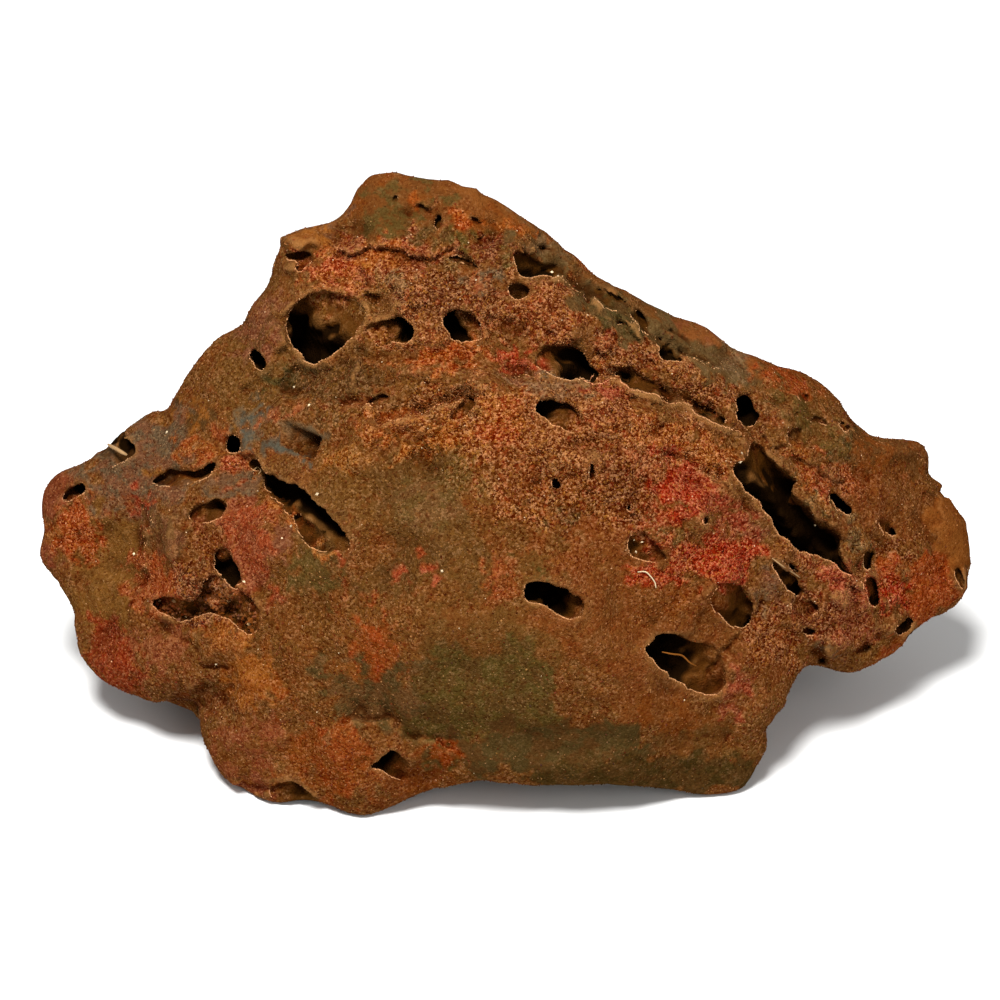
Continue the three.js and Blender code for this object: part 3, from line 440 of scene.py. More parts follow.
      (20.5, 17.2), (18, 17), (16, 17.5), (14, 18.5), (10.2, 21.2)]),
    # small mouths and pits in the middle
    ((0, 0), [(14, 4, 6), (14.5, 1.8, 1.2)],
     [(12.8, 4.8), (13.8, 5.8), (14.8, 5), (15.5, 1.8), (14.5, 0.8), (13.5, 1.5)]),
    ((0, 0), [(23, 8.2, 4), (23, 5.5, 2)],
     [(22.2, 9), (23, 10), (23.8, 7), (23.8, 5.2), (23, 4.2), (22.5, 5.8)]),
    ((0, 0), [(32.8, -11.5, 4.5), (34.5, -9.8, 2.2), (37.5, -12.5, 2), (40.2, -14.2, 1),
      (35.2, -13, 2.2)],
     [(32.2, -10), (33.2, -8.2), (35, -7.8), (37, -9), (41, -13), (42, -14.8), (40, -15.5), (37, -15.2),
      (32.8, -14), (32, -12)]),
    ((0, 0), [(32, -2, 2.5)],
     [(31.2, -1.2), (32.2, -1), (32.8, -2), (32.5, -3), (31.8, -3), (31.2, -2.2)]),
    ((0, 0), [(51.2, -5.2, 2.5)],
     [(50.8, -4.5), (51.5, -4.2), (52, -5.2), (51.8, -6.2), (51, -6.2)]),
    ((0.1, 0.1), [(-8.5, 23.8, 3.5), (-10.5, 21.5, 2), (-7, 24.8, 3)],
     [(-12.8, 21.2), (-8, 25.5), (-6.2, 25.5), (-6.2, 23.5), (-9.2, 20.2), (-11, 19.8), (-12.2, 20)]),
    # the mouth in the left foot
    ((-0.3, 0.2), [(-29, -66, 10), (-26.8, -65.2, 10), (-30, -67, 6), (-24.2, -67.5, 3.5),
      (-26, -69, 3), (-22.5, -68.5, 1.2)],
     [(-32.2, -67), (-31.2, -65.5), (-27.2, -62.8), (-25.8, -63), (-23, -65.2), (-21.8, -67),
      (-21.5, -68.8), (-23, -70), (-25, -70.2), (-28.8, -68)]),
    ((0.1, 0.2), [(-50.5, -73.5, 6), (-53.8, -73.2, 3.5), (-48.5, -74.8, 4), (-56, -72.8, 1.6)],
     [(-58, -72.5), (-56, -70.8), (-53.5, -70), (-51, -70.8), (-47, -74.2), (-46.2, -76.5),
      (-53.8, -76.5), (-56.5, -75.5)]),
    # the crumbled cavity in the left flank
    ((0.1, -0.1), [(-69, -15.8, 9), (-67, -18.5, 10), (-69.8, -13.2, 2.5), (-65.2, -20.8, 5)],
     [(-71.2, -15.2), (-71.8, -13.2), (-70.2, -11.5), (-68.2, -12.2), (-66, -16.2), (-64.2, -21),
      (-65.8, -21.8), (-67.5, -21), (-71.8, -17)]),
    ((0, 0), [(-77, -27.5, 6), (-74.5, -27, 6), (-80.5, -26.8, 3), (-84.2, -26.2, 2.4),
      (-72, -25.2, 1.6), (-69.5, -24.5, 1.8), (-66, -26.8, 6), (-63.8, -28, 2.4), (-62.5, -31, 3),
      (-71.5, -21.2, 1.6), (-73.5, -23, 5), (-68, -22.5, 2.4)],
     [(-87.2, -25.5), (-85.2, -24), (-82.5, -24), (-78, -25.2), (-76, -24.5), (-74.5, -22.5),
      (-74, -20), (-72.2, -18.5), (-70.2, -18.8), (-65.8, -22), (-63.2, -23.5), (-60.8, -26.2),
      (-60, -29), (-60.5, -32.2), (-62.5, -33.8), (-64.5, -33), (-68, -29.2), (-73, -28.2),
      (-77.5, -30), (-80, -30.2), (-82.8, -28.8), (-85.5, -28)]),
    ((0.2, 0.1), [(-71, -2, 7), (-69.8, -0.8, 3.5), (-72.5, -3.5, 4.5), (-75, -3.5, 2.2),
      (-76.5, -4.5, 1)],
     [(-77.8, -4), (-76.8, -2.5), (-75.2, -1.8), (-72, 0.2), (-70, 0.2), (-68.5, -1), (-69, -2.8),
      (-69.8, -4.2), (-71.5, -5.2), (-73.8, -5.8), (-75.8, -5.8), (-77.2, -5)]),
    ((0.1, 0.4), [(-83.8, 4.8, 1.6), (-80, 4.8, 2), (-76, 6, 5), (-73.5, 7, 7), (-72.2, 8.2, 5),
      (-82, 7, 1.8)],
     [(-87.5, 4), (-86, 5.5), (-84.2, 6.8), (-82, 7.8), (-79.5, 7.2), (-77, 7.2), (-74.8, 8), (-73, 9),
      (-71.5, 9.5), (-71, 8), (-72.2, 6.2), (-73.5, 5), (-75.5, 4.2), (-77.5, 3.8), (-79.5, 2.8),
      (-81.5, 2.5), (-83.5, 3.2)]),
    ((0, 0), [(-66.8, 14, 10)],
     [(-68.2, 15.5), (-67, 16.2), (-65.5, 16), (-65, 14.5), (-64.5, 13.8), (-65.2, 12.5), (-66, 11.8),
      (-67.5, 11.8), (-68.5, 12.5)]),
    # the long slit
    ((0.2, 0.2), [(-57.5, 3, 12), (-53.8, 0.8, 15), (-50, -1, 15), (-60.8, 8.2, 5), (-46.8, -3.8, 12),
      (-43.5, -5.8, 12), (-40.5, -8.5, 10), (-38.2, -11.5, 2.5), (-49.2, -6.5, 3), (-46.5, -9.2, 2.6),
      (-44.2, -11.5, 1.8), (-41, -12.2, 2), (-52.2, -3.2, 4)],
     [(-63.2, 8.5), (-62, 9.8), (-60.8, 10), (-59.8, 8.5), (-58.2, 7), (-54.5, 4.5), (-50.8, 4),
      (-50, 2.5), (-48.5, 1.8), (-46.8, -0.2), (-41, -5.2), (-39.5, -7.8), (-37.2, -10.5),
      (-37.8, -12.2), (-39.2, -13), (-43.8, -13.2), (-46, -12.8), (-47.8, -11.5), (-49.2, -10),
      (-52.2, -5), (-54.2, -2.5), (-58.8, 1.8), (-60, 5.8), (-61, 7), (-62.2, 7.5)]),
    # the mouths at the left rim
    ((0.2, 0.2), [(-93.8, 13, 11), (-95.2, 12.2, 8), (-93, 11.2, 6), (-97.8, 11.2, 2.6),
      (-98.5, 9.5, 1), (-97.2, 13.2, 4)],
     [(-100, 10.2), (-100.2, 12), (-98.2, 14.5), (-95, 15.5), (-93.2, 15), (-91.8, 14), (-91, 12.5),
      (-92, 11), (-93.5, 9.8), (-95.5, 9), (-97, 8), (-99, 8.2)]),
    ((0.2, 0.1), [(-105.5, 2.8, 7), (-107.8, 0.8, 2.4)],
     [(-109.5, 0), (-108.8, 1.8), (-105.5, 4.2), (-104, 4), (-103.2, 2.5), (-104.5, 1.5), (-106, 0.8),
      (-107.5, -0.5)]),
    # dents below the shoulder and slits in the crest
    ((0, 0.3), [(-50.2, 60.8, 2.6), (-49.5, 58.8, 1.6), (-53, 61.2, 1.6)],
     [(-54, 61.2), (-52.5, 62), (-47.2, 62), (-46.8, 60.2), (-49.8, 56.8), (-51.2, 57.5), (-50.5, 59.2),
      (-52.8, 60)]),
    ((0, 0.4), [(-8.5, 59.2, 2.6)],
     [(-13.2, 60.2), (-11, 60.8), (-6.5, 59.2), (-4.5, 58), (-5.8, 57.5), (-8.5, 58.2)]),
    ((0, 0.3), [(-26, 75.2, 1.5)],
     [(-27.2, 75.2), (-26, 76.2), (-24.5, 76), (-25.5, 74.8), (-26.8, 74.2)]),
    ((0, 0.3), [(-19.2, 73, 2)],
     [(-21.2, 74.2), (-19.5, 74), (-17.8, 72.8), (-17.2, 71.8), (-19, 72), (-20.8, 73)]),
    ((0, 0.1), [(-15.5, 69.5, 4)],
     [(-15.8, 71), (-14.8, 71), (-14.5, 69.5), (-15.2, 67.8), (-16, 67.2), (-16.5, 68.8)]),
    ((0, 0.3), [(-6, 69.5, 2)],
     [(-7.8, 70.8), (-6, 70.5), (-4.2, 69), (-5.2, 68.2), (-7, 69.2)]),
    ((0, 0.3), [(-30.2, 25.2, 2)],
     [(-34, 24), (-32.2, 25.5), (-30.2, 26), (-27.2, 26.2), (-28, 25), (-32.5, 23.8)]),
    # small dents at the right end
    ((0, 0), [(79.8, 19.8, 1.4)],
     [(77.2, 20.5), (79.5, 21), (81.8, 20), (82.2, 18.8), (80, 18.8), (77.8, 19.5)]),
    ((0, 0), [(76, 25.5, 1.2)],
     [(74.5, 26.5), (76.2, 27), (77.5, 25.5), (76.5, 24), (75, 24.8)]),
    ((0, 0), [(74, 15.8, 1.4)],
     [(71.8, 17.2), (73.5, 18.2), (75.8, 17.5), (75, 15.2), (74, 13.2), (72, 14)]),
    ((0, 0), [(86, 18.5, 1.4)],
     [(84.8, 19.8), (86, 19.8), (87.2, 18.2), (87, 17), (85.5, 17.8)]),
    # the hollows under the knuckles
    ((0, 0.4), [(76, -27.5, 3), (78.2, -26.8, 2), (73.8, -26.5, 2)],
     [(73, -25), (78.2, -25.5), (80, -26.5), (79.5, -28), (77.5, -29.2), (75, -29.5), (72.8, -28)]),
    ((0, 0.3), [(76.5, -33.2, 2)],
     [(75, -31.5), (77, -31.8), (79.2, -32.8), (78, -34.2), (75.8, -34)]),
]
print(len(front_mouths), "mouths")

# %%
# Measure the front and mend it
PLUG_RIM = 2.75  # mm round an outline that is mended too, because the solid's hole may be wider
PLUG_SKIN = 3.0  # mm of stone that stays behind every hole
RAY_MARKS = 2  # board marks between two rays
CORNER_CUTS = 2
WALL_BLUR = 1.5  # marks


def rounded(outline):
    """The outline with its corners cut, each time into two."""
    ring = np.array(outline)
    for _ in range(CORNER_CUTS):
        ahead = np.roll(ring, -1, axis=0)
        ring = np.hstack([0.8 * ring + 0.2 * ahead, 0.2 * ring + 0.8 * ahead]).reshape(-1, 2)
    return ring


def outside(ring, u, v):
    """How far each place is outside a ring, below zero inside it."""
    nearest = np.full(u.shape, np.inf, np.float32)
    inside = np.zeros(u.shape, bool)
    ring = ring.astype(np.float32)
    for (u0, v0), (u1, v1) in zip(ring, np.roll(ring, -1, axis=0)):
        run_u, run_v = u1 - u0, v1 - v0
        share = np.clip(((u - u0) * run_u + (v - v0) * run_v) / (run_u**2 + run_v**2), 0, 1)
        away = (u - u0 - share * run_u) ** 2 + (v - v0 - share * run_v) ** 2
        nearest = np.minimum(nearest, away)
        if run_v:
            inside ^= ((v0 > v) != (v1 > v)) & (u < u0 + (v - v0) * run_u / run_v)
    nearest = np.sqrt(nearest)
    return np.where(inside, -nearest, nearest)


def mended(board, gaps):
    """The board with its gaps filled in from round about, the narrow ones first."""
    for spread in (3, 6, 12, 24):
        weight = blurred((~gaps).astype(float), spread)
        guess = blurred(np.where(gaps, 0, board), spread) / np.maximum(weight, 1e-6)
        ready = gaps & (weight > 0.05)
        board = np.where(ready, guess, board)
        gaps = gaps & ~ready
    return np.where(gaps, board[~gaps].min(), board)


seen_solid = BVHTree.FromPolygons(corners.tolist(), triangles.tolist())
eye = Vector(place(0, 0, EYE_DISTANCE))


def first_and_last(u, v):
    """How far out the stone begins and ends behind one place of the picture."""
    towards = (Vector(place(u, v, 0)) - eye).normalized()
    first = seen_solid.ray_cast(eye, towards)[0]
    if first is None:
        return math.nan, math.nan
    last = seen_solid.ray_cast(eye + 2 * EYE_DISTANCE * towards, -towards)[0]
    return [(np.array(hit) - FACE_ZERO) @ OUT for hit in (first, last)]


ray_u, ray_v = board_u[::RAY_MARKS], board_v[::RAY_MARKS]
seen = np.array([[first_and_last(u, v) for u in ray_u] for v in ray_v])
seen = seen.repeat(RAY_MARKS, axis=0).repeat(RAY_MARKS, axis=1)
front_rings = [rounded(outline) for _, _, outline in front_mouths]
missed = np.isnan(seen[..., 0])
gaps = missed.copy()
for ring in front_rings:
    low, high = ring.min(axis=0) - PLUG_RIM, ring.max(axis=0) + PLUG_RIM
    rows = slice(*np.searchsorted(board_v, (low[1], high[1])))
    columns = slice(*np.searchsorted(board_u, (low[0], high[0])))
    gaps[rows, columns] |= outside(ring, BOARD_U[rows, columns], BOARD_V[rows, columns]) < PLUG_RIM
front_wall = blurred(mended(seen[..., 0], gaps), WALL_BLUR)
back_wall = mended(seen[..., 1], missed)
off_solid = blurred(missed.astype(float), 0.8)
climb = np.gradient(front_wall, BOARD_STEP)
lean_share = 1 / np.sqrt(1 + climb[0] ** 2 + climb[1] ** 2)
print("front wall from", front_wall.min().round(), "to", front_wall.max().round(), "mm")

# %%
# Plug the old holes
TUBE_DEPTH = 30.0  # mm, deeper than any post
FRONT_ROOM = 6.0  # mm before the front wall that belong to a mouth too


def clay_behind(ring, margin):
    """The box of cells behind a ring, and the cells in it that lie close behind the front."""
    low, high = ring.min(axis=0) - margin, ring.max(axis=0) + margin
    walls = read_board(front_wall, *np.array([low, high, ring.mean(axis=0)]).T)
    reach = (walls.min() - TUBE_DEPTH, walls.max() + FRONT_ROOM)
    box_corners = itertools.product((low[0], high[0]), (low[1], high[1]), reach)
    box = [place(*corner) for corner in box_corners]
    start = np.floor(np.min(box, axis=0) / CELL).astype(int) - first_cell
    stop = np.ceil(np.max(box, axis=0) / CELL).astype(int) - first_cell + 1
    start, stop = np.clip(start, 0, clay.shape), np.clip(stop, 0, clay.shape)
    cells = tuple(slice(*ends) for ends in zip(start, stop))
    steps = [np.arange(*ends) for ends in zip(start, stop)]
    index = np.stack(np.meshgrid(*steps, indexing="ij"), axis=-1)
    points = ((index + first_cell) * CELL).astype(np.float32).reshape(-1, 3)
    u, v, w = face_places(points)
    chosen = (u > low[0]) & (u < high[0]) & (v > low[1]) & (v < high[1])
    depth = read_board(front_wall, u, v) - w
    chosen &= (depth > -FRONT_ROOM) & (depth < TUBE_DEPTH)
    chosen &= w > read_board(back_wall, u, v) + PLUG_SKIN
    chosen = np.flatnonzero(chosen)
    return cells, chosen, points[chosen], u[chosen], v[chosen], depth[chosen]


def change_clay(cells, chosen, change):
    patch = clay[cells].ravel()
    patch[chosen] = change(patch[chosen])
    clay[cells] = patch.reshape(clay[cells].shape)


plugged = 0
for ring in front_rings:
    cells, chosen, _, u, v, depth = clay_behind(ring, PLUG_RIM)
    plug = np.maximum(-depth * read_board(lean_share, u, v), -BAND_CELLS * CELL)
    plug[(outside(ring, u, v) > PLUG_RIM) | (read_board(off_solid, u, v) > 0.01)] = np.inf
    plugged += (np.isfinite(plug) & (clay[cells].ravel()[chosen] > 0)).sum()
    change_clay(cells, chosen, lambda old: np.minimum(old, plug))
print(plugged, "cells plugged")

# %% [markdown]
# ## Ledges and creases
# The stone grew in crusts, one over the other. Where a crust ends there is a sharp step: the
# upper crust has a slightly raised lip and the lower one is hollowed out along it. A crease
# is a narrow groove. A normal map could fake both, but steps of a millimetre or two also
# throw shadows and show in the outline, so they are real relief, drawn from short lists.

# %%
# Draw the ledges
# Each line has the higher crust on its right: (depth of the hollow, its width, height of the
# lip, places on the line).
front_ledges = [
    (0.6, 2.2, 0.5, [(-0.75, 31.25), (5.75, 32), (10.5, 30.5), (16.25, 28), (22.5, 30)]),
    (1.9, 2.2, 0.5, [(20, 29.2), (22.5, 30), (28.75, 30.5), (40, 26.25), (48.25, 23.25), (54, 19.75),
                     (59.5, 16), (62.75, 13)]),
    (0.8, 2.0, 0.5, [(3.25, 54.25), (10, 55.5), (15, 56.25), (21.25, 52.5), (26.25, 46.25),
                     (33.75, 43.75), (40, 37.5), (45, 35.75), (55, 32.5), (57.5, 30)]),
    (0.3, 2.0, 0.3, [(-5, 38.75), (-20, 38.75), (-25, 39.25), (-33.75, 38.75)]),
    (1.1, 1.6, 0.4, [(-43.5, 26), (-35, 22), (-27.5, 20), (-15, 23.75), (-2.5, 28.75)]),
    (0.7, 3.5, 0.3, [(-93, -29), (-91.5, -26), (-88.5, -15.5), (-88, -4), (-91, 2)]),
    (0.9, 1.8, 0.4, [(-45, -54.5), (-30, -55), (-20, -60), (-11.25, -61.25), (-9.75, -65)]),
    (0.5, 1.8, 0.4, [(109.5, -14.5), (110, -6.25), (109.5, -0.5), (105.5, 2)]),
    (0.8, 2.2, 0.4, [(-38, -12), (-50, -4), (-60, 7), (-63, 12), (-70, 18)]),
    (1.0, 2.0, 0.4, [(-3, 60), (-12, 62), (-22, 61.5), (-34, 64), (-42, 61)]),
    (0.9, 1.6, 0.4, [(39, 10.2), (46, 9.4), (53, 6.8), (59.8, -0.3), (64.8, -4.5)]),
    (0.8, 1.8, 0.3, [(66, -22), (62, -30), (55, -38), (52, -46)]),
    (0.9, 1.6, 0.3, [(-86.5, -30), (-80, -35), (-74, -42), (-66, -43)]),
    (0.8, 1.6, 0.4, [(88, 3), (80, 9), (70, 13), (62, 19)]),
    (1.0, 1.6, 0.4, [(-40, 57), (-30, 52.5), (-22, 47.5), (-14, 46)]),
]
back_ledges = [
    (1.8, 2.6, 0.5, [(85, -2), (60, 6), (38, 3), (12, 12), (-8, 8), (-26, 16)]),
    (1.6, 2.4, 0.5, [(-20, -12), (-42, -6), (-60, -16), (-84, -12)]),
    (1.5, 2.4, 0.5, [(70, -32), (46, -24), (22, -34), (2, -26)]),
    (1.2, 2.0, 0.4, [(44, 34), (30, 42), (10, 38), (-8, 48), (-26, 46)]),
    (1.2, 2.0, 0.4, [(-52, 38), (-60, 24), (-76, 20), (-88, 8)]),
]
# Each crease is a groove: (depth, half width, places on the line).
front_creases = [
    (0.9, 0.8, [(-41, 19.6), (-37.8, 23.8), (-34.3, 24.1), (-28, 25.8)]),
    (0.8, 0.7, [(-37.8, 21), (-31.5, 18.3), (-25.8, 17.5), (-20.3, 15.5), (-14.8, 16.8), (-7.8, 20.3)]),
    (0.8, 0.8, [(-24.5, 27.3), (-19, 25.8), (-8.5, 25.8), (-3, 28)]),
    (0.8, 0.7, [(-33, 30), (-26, 29.4), (-18, 30.8), (-9, 30)]),
    (1.0, 0.8, [(-62.5, -68.7), (-55, -71), (-50, -71.2)]),
    (0.8, 0.7, [(48.5, -59.3), (51.8, -59.2)]),
    (1.1, 0.9, [(89.6, -17), (88.4, -22), (90, -29), (92.6, -34)]),
    (0.9, 0.8, [(35, 11.2), (37.5, 4.5), (41, 1), (43.5, -4), (47.5, -9.5)]),
    (0.7, 0.7, [(22, 4), (25.5, 2), (31, 3.5), (34.5, 0.5)]),
    (0.9, 0.8, [(-84.5, -13), (-82, -17), (-84, -23)]),
    (0.8, 0.7, [(101, -3), (96, -2), (91, -4.5), (88, -8)]),
    (0.7, 0.8, [(-6, 70), (-1, 68.3), (5, 67.4), (8.5, 65.5)]),
    (0.8, 0.8, [(-26.4, 74), (-22, 72), (-19, 68.5)]),
    (0.7, 0.7, [(-50, 40), (-46, 32), (-40, 30)]),
    (0.8, 0.7, [(57, -46), (60, -52), (59, -60)]),
]
# Each swelling, or dent where the height is below zero: (u, v, half width, half height, turn in
# degrees, height).
front_swells = [
    (-49, 64.5, 6.5, 2.8, 0, 1.5), (-53.2, 58.5, 2.8, 2.5, 0, 0.9),
    (-56.5, 41, 3.5, 4, 0, 1.3), (-18.8, 72, 7, 3, -20, -0.8),
    (-21.2, 69.5, 10, 4.5, -10, -0.7), (-37.5, 67, 6.5, 3, 20, -1), (15, 47, 11.5, 7, -35, 1.4),
    (-30, 49.5, 4, 3.2, 0, -1.6), (-25, 53.8, 4, 3.5, -20, 0.9), (-7.5, 52.5, 8.5, 5.5, 0, 0.9),
    (-17.5, 50, 5, 3.5, 0, 0.5), (0, 43.8, 7.5, 3.5, 0, -0.8), (-12.5, 37, 12.5, 2.2, 8, -0.4),
    (5, 35.5, 5.5, 2.5, 0, 0.5), (-15, 31.2, 15, 3.5, -8, 1.1), (-36.2, 32.5, 2.2, 7.5, 5, 1),
    (-50, 28.8, 8.5, 4.5, 25, -1.4), (-42.5, 18.8, 6.5, 3.5, 30, 0.5),
    (-26.2, 18.8, 12.5, 4, 12, 1), (-20, 7.5, 7, 6.5, 0, -0.8), (5, 26.2, 10, 5.5, 20, 0.8),
    (27.5, 22.5, 10, 4.5, -25, 1), (38.8, 17.5, 2.5, 1.8, -30, -1), (25, 13.8, 10, 3, -10, -1),
    (15, 11.2, 15, 6, -20, 0.9), (50, 5, 7.5, 4, -40, -1), (47.5, -5, 10, 6, -30, 0.9),
    (37.5, -15, 4, 2.5, -30, -0.6), (57.5, -11.2, 6.5, 4.5, -30, 0.6),
    (70, 20, 5.5, 3.5, -40, 0.8), (50, 30, 8.5, 3.5, -30, 0.7), (72.5, 12.5, 6.5, 2.5, -40, -0.5),
    (87.5, 7.5, 10, 3.5, -42, -0.7), (79.5, -3, 6.5, 1.5, -45, 0.9),
    (88.8, -10, 3.5, 6.5, 30, 0.6), (96.2, 0, 6.5, 4, -40, 0.7), (95, -15, 3.5, 5, 0, -0.6),
    (101.2, -15, 6.5, 5.5, 0, 0.8), (98.2, -26.2, 3.5, 4, 0, 0.9),
    (106.2, -7.5, 3, 6, 10, -0.8), (85, -25, 4.5, 3.5, 0, 1.6), (84.5, -35.2, 5, 4, 0, 1.5),
    (89.5, -21.2, 3, 2.5, 0, 0.9), (96.2, -31.2, 4.5, 3, 0, 0.8), (90.5, -37, 2.5, 3, 0, -1.4),
    (75.8, -25, 3, 2, 0, -1.4), (80.5, -38, 3.5, 2, -35, -1), (67.5, -22.5, 4.5, 5, 0, 0.7),
    (68.8, -35, 6.5, 3.5, 10, -0.9), (61.2, -41.2, 3.5, 10, 10, 0.7),
    (55, -55, 4, 9, 15, -0.6), (67.5, -50, 2.5, 10, 15, 0.6), (47.5, -27.5, 3, 10, -35, 0.9),
    (27.5, -40, 15, 10, 0, 0.8), (-12.5, -25, 20, 15, 0, 0.9), (-27.5, -15, 12.5, 10, 10, -0.7),
    (15, -60, 22.5, 6.5, 0, -1), (-15, -50, 15, 6.5, 0, 0.5), (50, -60, 10, 5, 0, -0.7),
    (0, -19.5, 5, 3.5, 0, 0.4), (-98.8, -15.5, 8, 10, 20, -0.7), (-110, -5, 4, 6.5, 10, 0.7),
    (-102.5, -3.8, 7.5, 4.5, 0, 0.7), (-82, -10, 3.5, 10.5, -5, 1.3),
    (-85, 5.5, 10, 2.5, 8, -0.6), (-77.5, 13.2, 7, 3.2, 5, 0.9), (-66.2, 8.5, 5, 3, -10, 0.9),
    (-65, 2.5, 6.5, 3, 0, 0.5), (-58.8, -11.2, 7, 8.5, 0, 1.2),
    (-62.5, -25, 2.5, 5.5, -15, -0.6), (-73.8, -36.2, 5, 5, 0, 1.3),
    (-66.2, -37.5, 6, 7.5, 20, 0.8), (-97.5, -35, 6.5, 6.5, 40, -0.8),
    (-87.5, -40, 7, 5.5, 20, 0.6), (-82.5, -31.2, 7.5, 2.5, 10, -0.8),
    (-75, -50, 15, 3.5, 10, -1.5), (-62.5, -47.5, 6, 4, 0, 0.8), (-60, -60, 10, 5, 0, 0.8),
    (-61.2, -72.5, 6.5, 2.5, 15, -1.2), (-40, -61.2, 10, 6.5, 20, 0.9),
    (-37.5, -72.5, 7.5, 3.5, 0, 0.5), (-17.5, -67.5, 10, 4, 20, -0.6),
    (-52.5, 15, 7.5, 2.5, -30, 0.5), (-71.2, 20, 6, 4.5, 0, 0.5), (-82.5, 20, 6, 3.5, 25, -0.7),
    (-68.8, 31.2, 7.5, 5.5, 35, 0.7), (-62.5, 26.2, 5, 4, 0, -0.6),
    (-95, 2.5, 8.5, 4, 20, 0.4), (37.5, 42.5, 12.5, 2.5, -32, -0.4),
    (22.5, 52.5, 6.5, 2, -38, -0.6), (55, 36.2, 10, 2.5, -30, -0.8),
    (67.5, 26.2, 10, 2, -38, -0.6), (-2.5, 66.2, 6.5, 3.5, -20, -0.9),
    (-8.8, 75, 7.5, 3.5, -25, 0.6), (-30, 77.5, 6.5, 3, 10, 0.4), (100, 12.5, 6, 3, 0, 0.5),
    (115, -10, 3.5, 10, 5, 0.5), (110, -25, 6.5, 3.5, 30, 0.4), (110, 1.2, 2, 1.5, 0, -0.9),
    (-53.8, 47.5, 3.5, 2, 25, 0.8),
]


SWELL_SHARE = 1.7  # the listed heights were read low, so all are raised by this much
LEDGE_SHARE = 1.6
SWELL_TOP, SWELL_END = 0.3, 1.15  # where a swelling begins to fall and ends, in half widths
WOBBLE = 0.7  # mm that drawn lines wander by
LIP_REACH = 1.6  # mm that the lip of a ledge is wide
RIM_OFFSET, RIM_SPREAD = 0.2, 0.6  # mm from a ledge's line to its pale rim, partly wear and partly a painted highlight, and its width
FADE = 0.15  # part of a ledge, at each end, along which it dies away


def draw_relief(ledges, creases, swells, shift):
    wobble_u = BOARD_U + WOBBLE * board_noise(9, 3, shift)
    wobble_v = BOARD_V + WOBBLE * board_noise(9, 3, shift + 40)
    relief, rims = np.zeros(BOARD_U.shape), np.zeros(BOARD_U.shape)
    for u, v, wide, high, turn, height in swells:
        across, up = turned(wobble_u - u, wobble_v - v, turn)
        away = np.hypot(across / wide, up / high)
        relief += SWELL_SHARE * height * (1 - smooth_step(away, SWELL_TOP, SWELL_END))
    for depth, width, lip, line in ledges:
        across, along = beside(line, wobble_u, wobble_v)
        fade = smooth_step(np.minimum(along, 1 - along), 0, FADE)
        depth *= LEDGE_SHARE
        groove, slope = np.exp(-((across / width) ** 2)), np.exp(across / (3 * width))
        hollow = -depth * (0.6 * groove + 0.6 * slope)
        relief += fade * np.where(across < 0, hollow, lip * np.exp(-((across / LIP_REACH) ** 2)))
        rims = np.maximum(rims, fade * np.exp(-(((across - RIM_OFFSET) / RIM_SPREAD) ** 2)))
    for depth, half_width, line in creases:
        across, along = beside(line, wobble_u, wobble_v)
        uneven = 0.7 + 0.4 * board_noise(6, 1, shift + 9)
        relief -= depth * uneven * np.exp(-((across / half_width) ** 2))
    return relief, rims


front_relief, front_rims = draw_relief(front_ledges, front_creases, front_swells, 0)
back_relief, back_rims = draw_relief(back_ledges, [], [], 60)
print("relief from", round(front_relief.min(), 1), "to", round(front_relief.max(), 1), "mm")

# %% [markdown]
# ## Paints
# Most colours of the stone are iron rust in different states: dry rust is orange, burnt rust
# is red or mauve, wet rust is brown, and worn clay with little iron in it is grey or olive.
# A few paints stand for light and shade instead: the glint is a painted highlight, the pale
# lip is partly wear and partly a painted highlight, and the paints of the galleries, the dark
# brown of holes and one dark olive are painted shade. They are named here once, as a screen
# shows them, and turned into amounts of light.

# %%
# Mix the paints
SCREEN_COLOURS = {
    "brown": (117, 69, 32), "umber": (92, 62, 32), "rust": (126, 67, 25),
    "russet": (120, 63, 27), "mahogany": (124, 64, 33), "orange": (163, 82, 30),
    "tan": (133, 77, 34), "flame": (152, 67, 26), "brick": (146, 72, 37),
    "cherry": (156, 66, 34), "scarlet": (156, 52, 24), "deep_red": (142, 56, 28),
    "dark_red": (106, 46, 22), "crimson": (150, 60, 42), "pink_red": (164, 76, 52),
    "salmon": (158, 84, 50), "clay": (134, 76, 46), "wine": (134, 68, 44),
    "mauve": (121, 72, 50), "dusk": (116, 78, 55), "purple": (92, 52, 36),
    "slate": (99, 80, 62), "grey": (120, 91, 63), "taupe": (108, 74, 43),
    "sage": (104, 80, 50), "olive": (94, 72, 36), "olive_green": (90, 72, 34),
    "khaki": (106, 70, 33), "mustard": (124, 82, 38), "moss": (76, 64, 35),
    "ochre": (156, 94, 38), "gold": (160, 96, 40), "bronze": (142, 82, 35),
    "amber": (152, 88, 34), "hole_shade_brown": (50, 24, 5), "pale": (190, 150, 112),
    "cocoa": (93, 48, 18), "chestnut": (108, 54, 20), "rust_ochre": (136, 72, 24),
    "shade_olive": (72, 54, 24), "slate_blue": (88, 84, 76), "stone_grey": (122, 95, 70),
    "copper": (146, 65, 20), "hot_red": (158, 43, 16),
    "gold_grain": (206, 138, 62), "red_grain": (178, 62, 34), "worn_and_lit_lip": (172, 120, 74),
    "quartz": (250, 224, 196), "gallery_shade_brown": (92, 55, 19), "gallery_shade_black": (32, 18, 6),
    "glint": (160, 118, 90),
}


def light_of(screen_colour):
    """The amounts of light that a screen makes of a colour (the sRGB curve)."""
    shares = (np.array(screen_colour) / 255 + 0.055) / 1.055
    return shares**2.4


PAINTS = {name: light_of(colour) for name, colour in SCREEN_COLOURS.items()}
print(len(PAINTS), "paints")
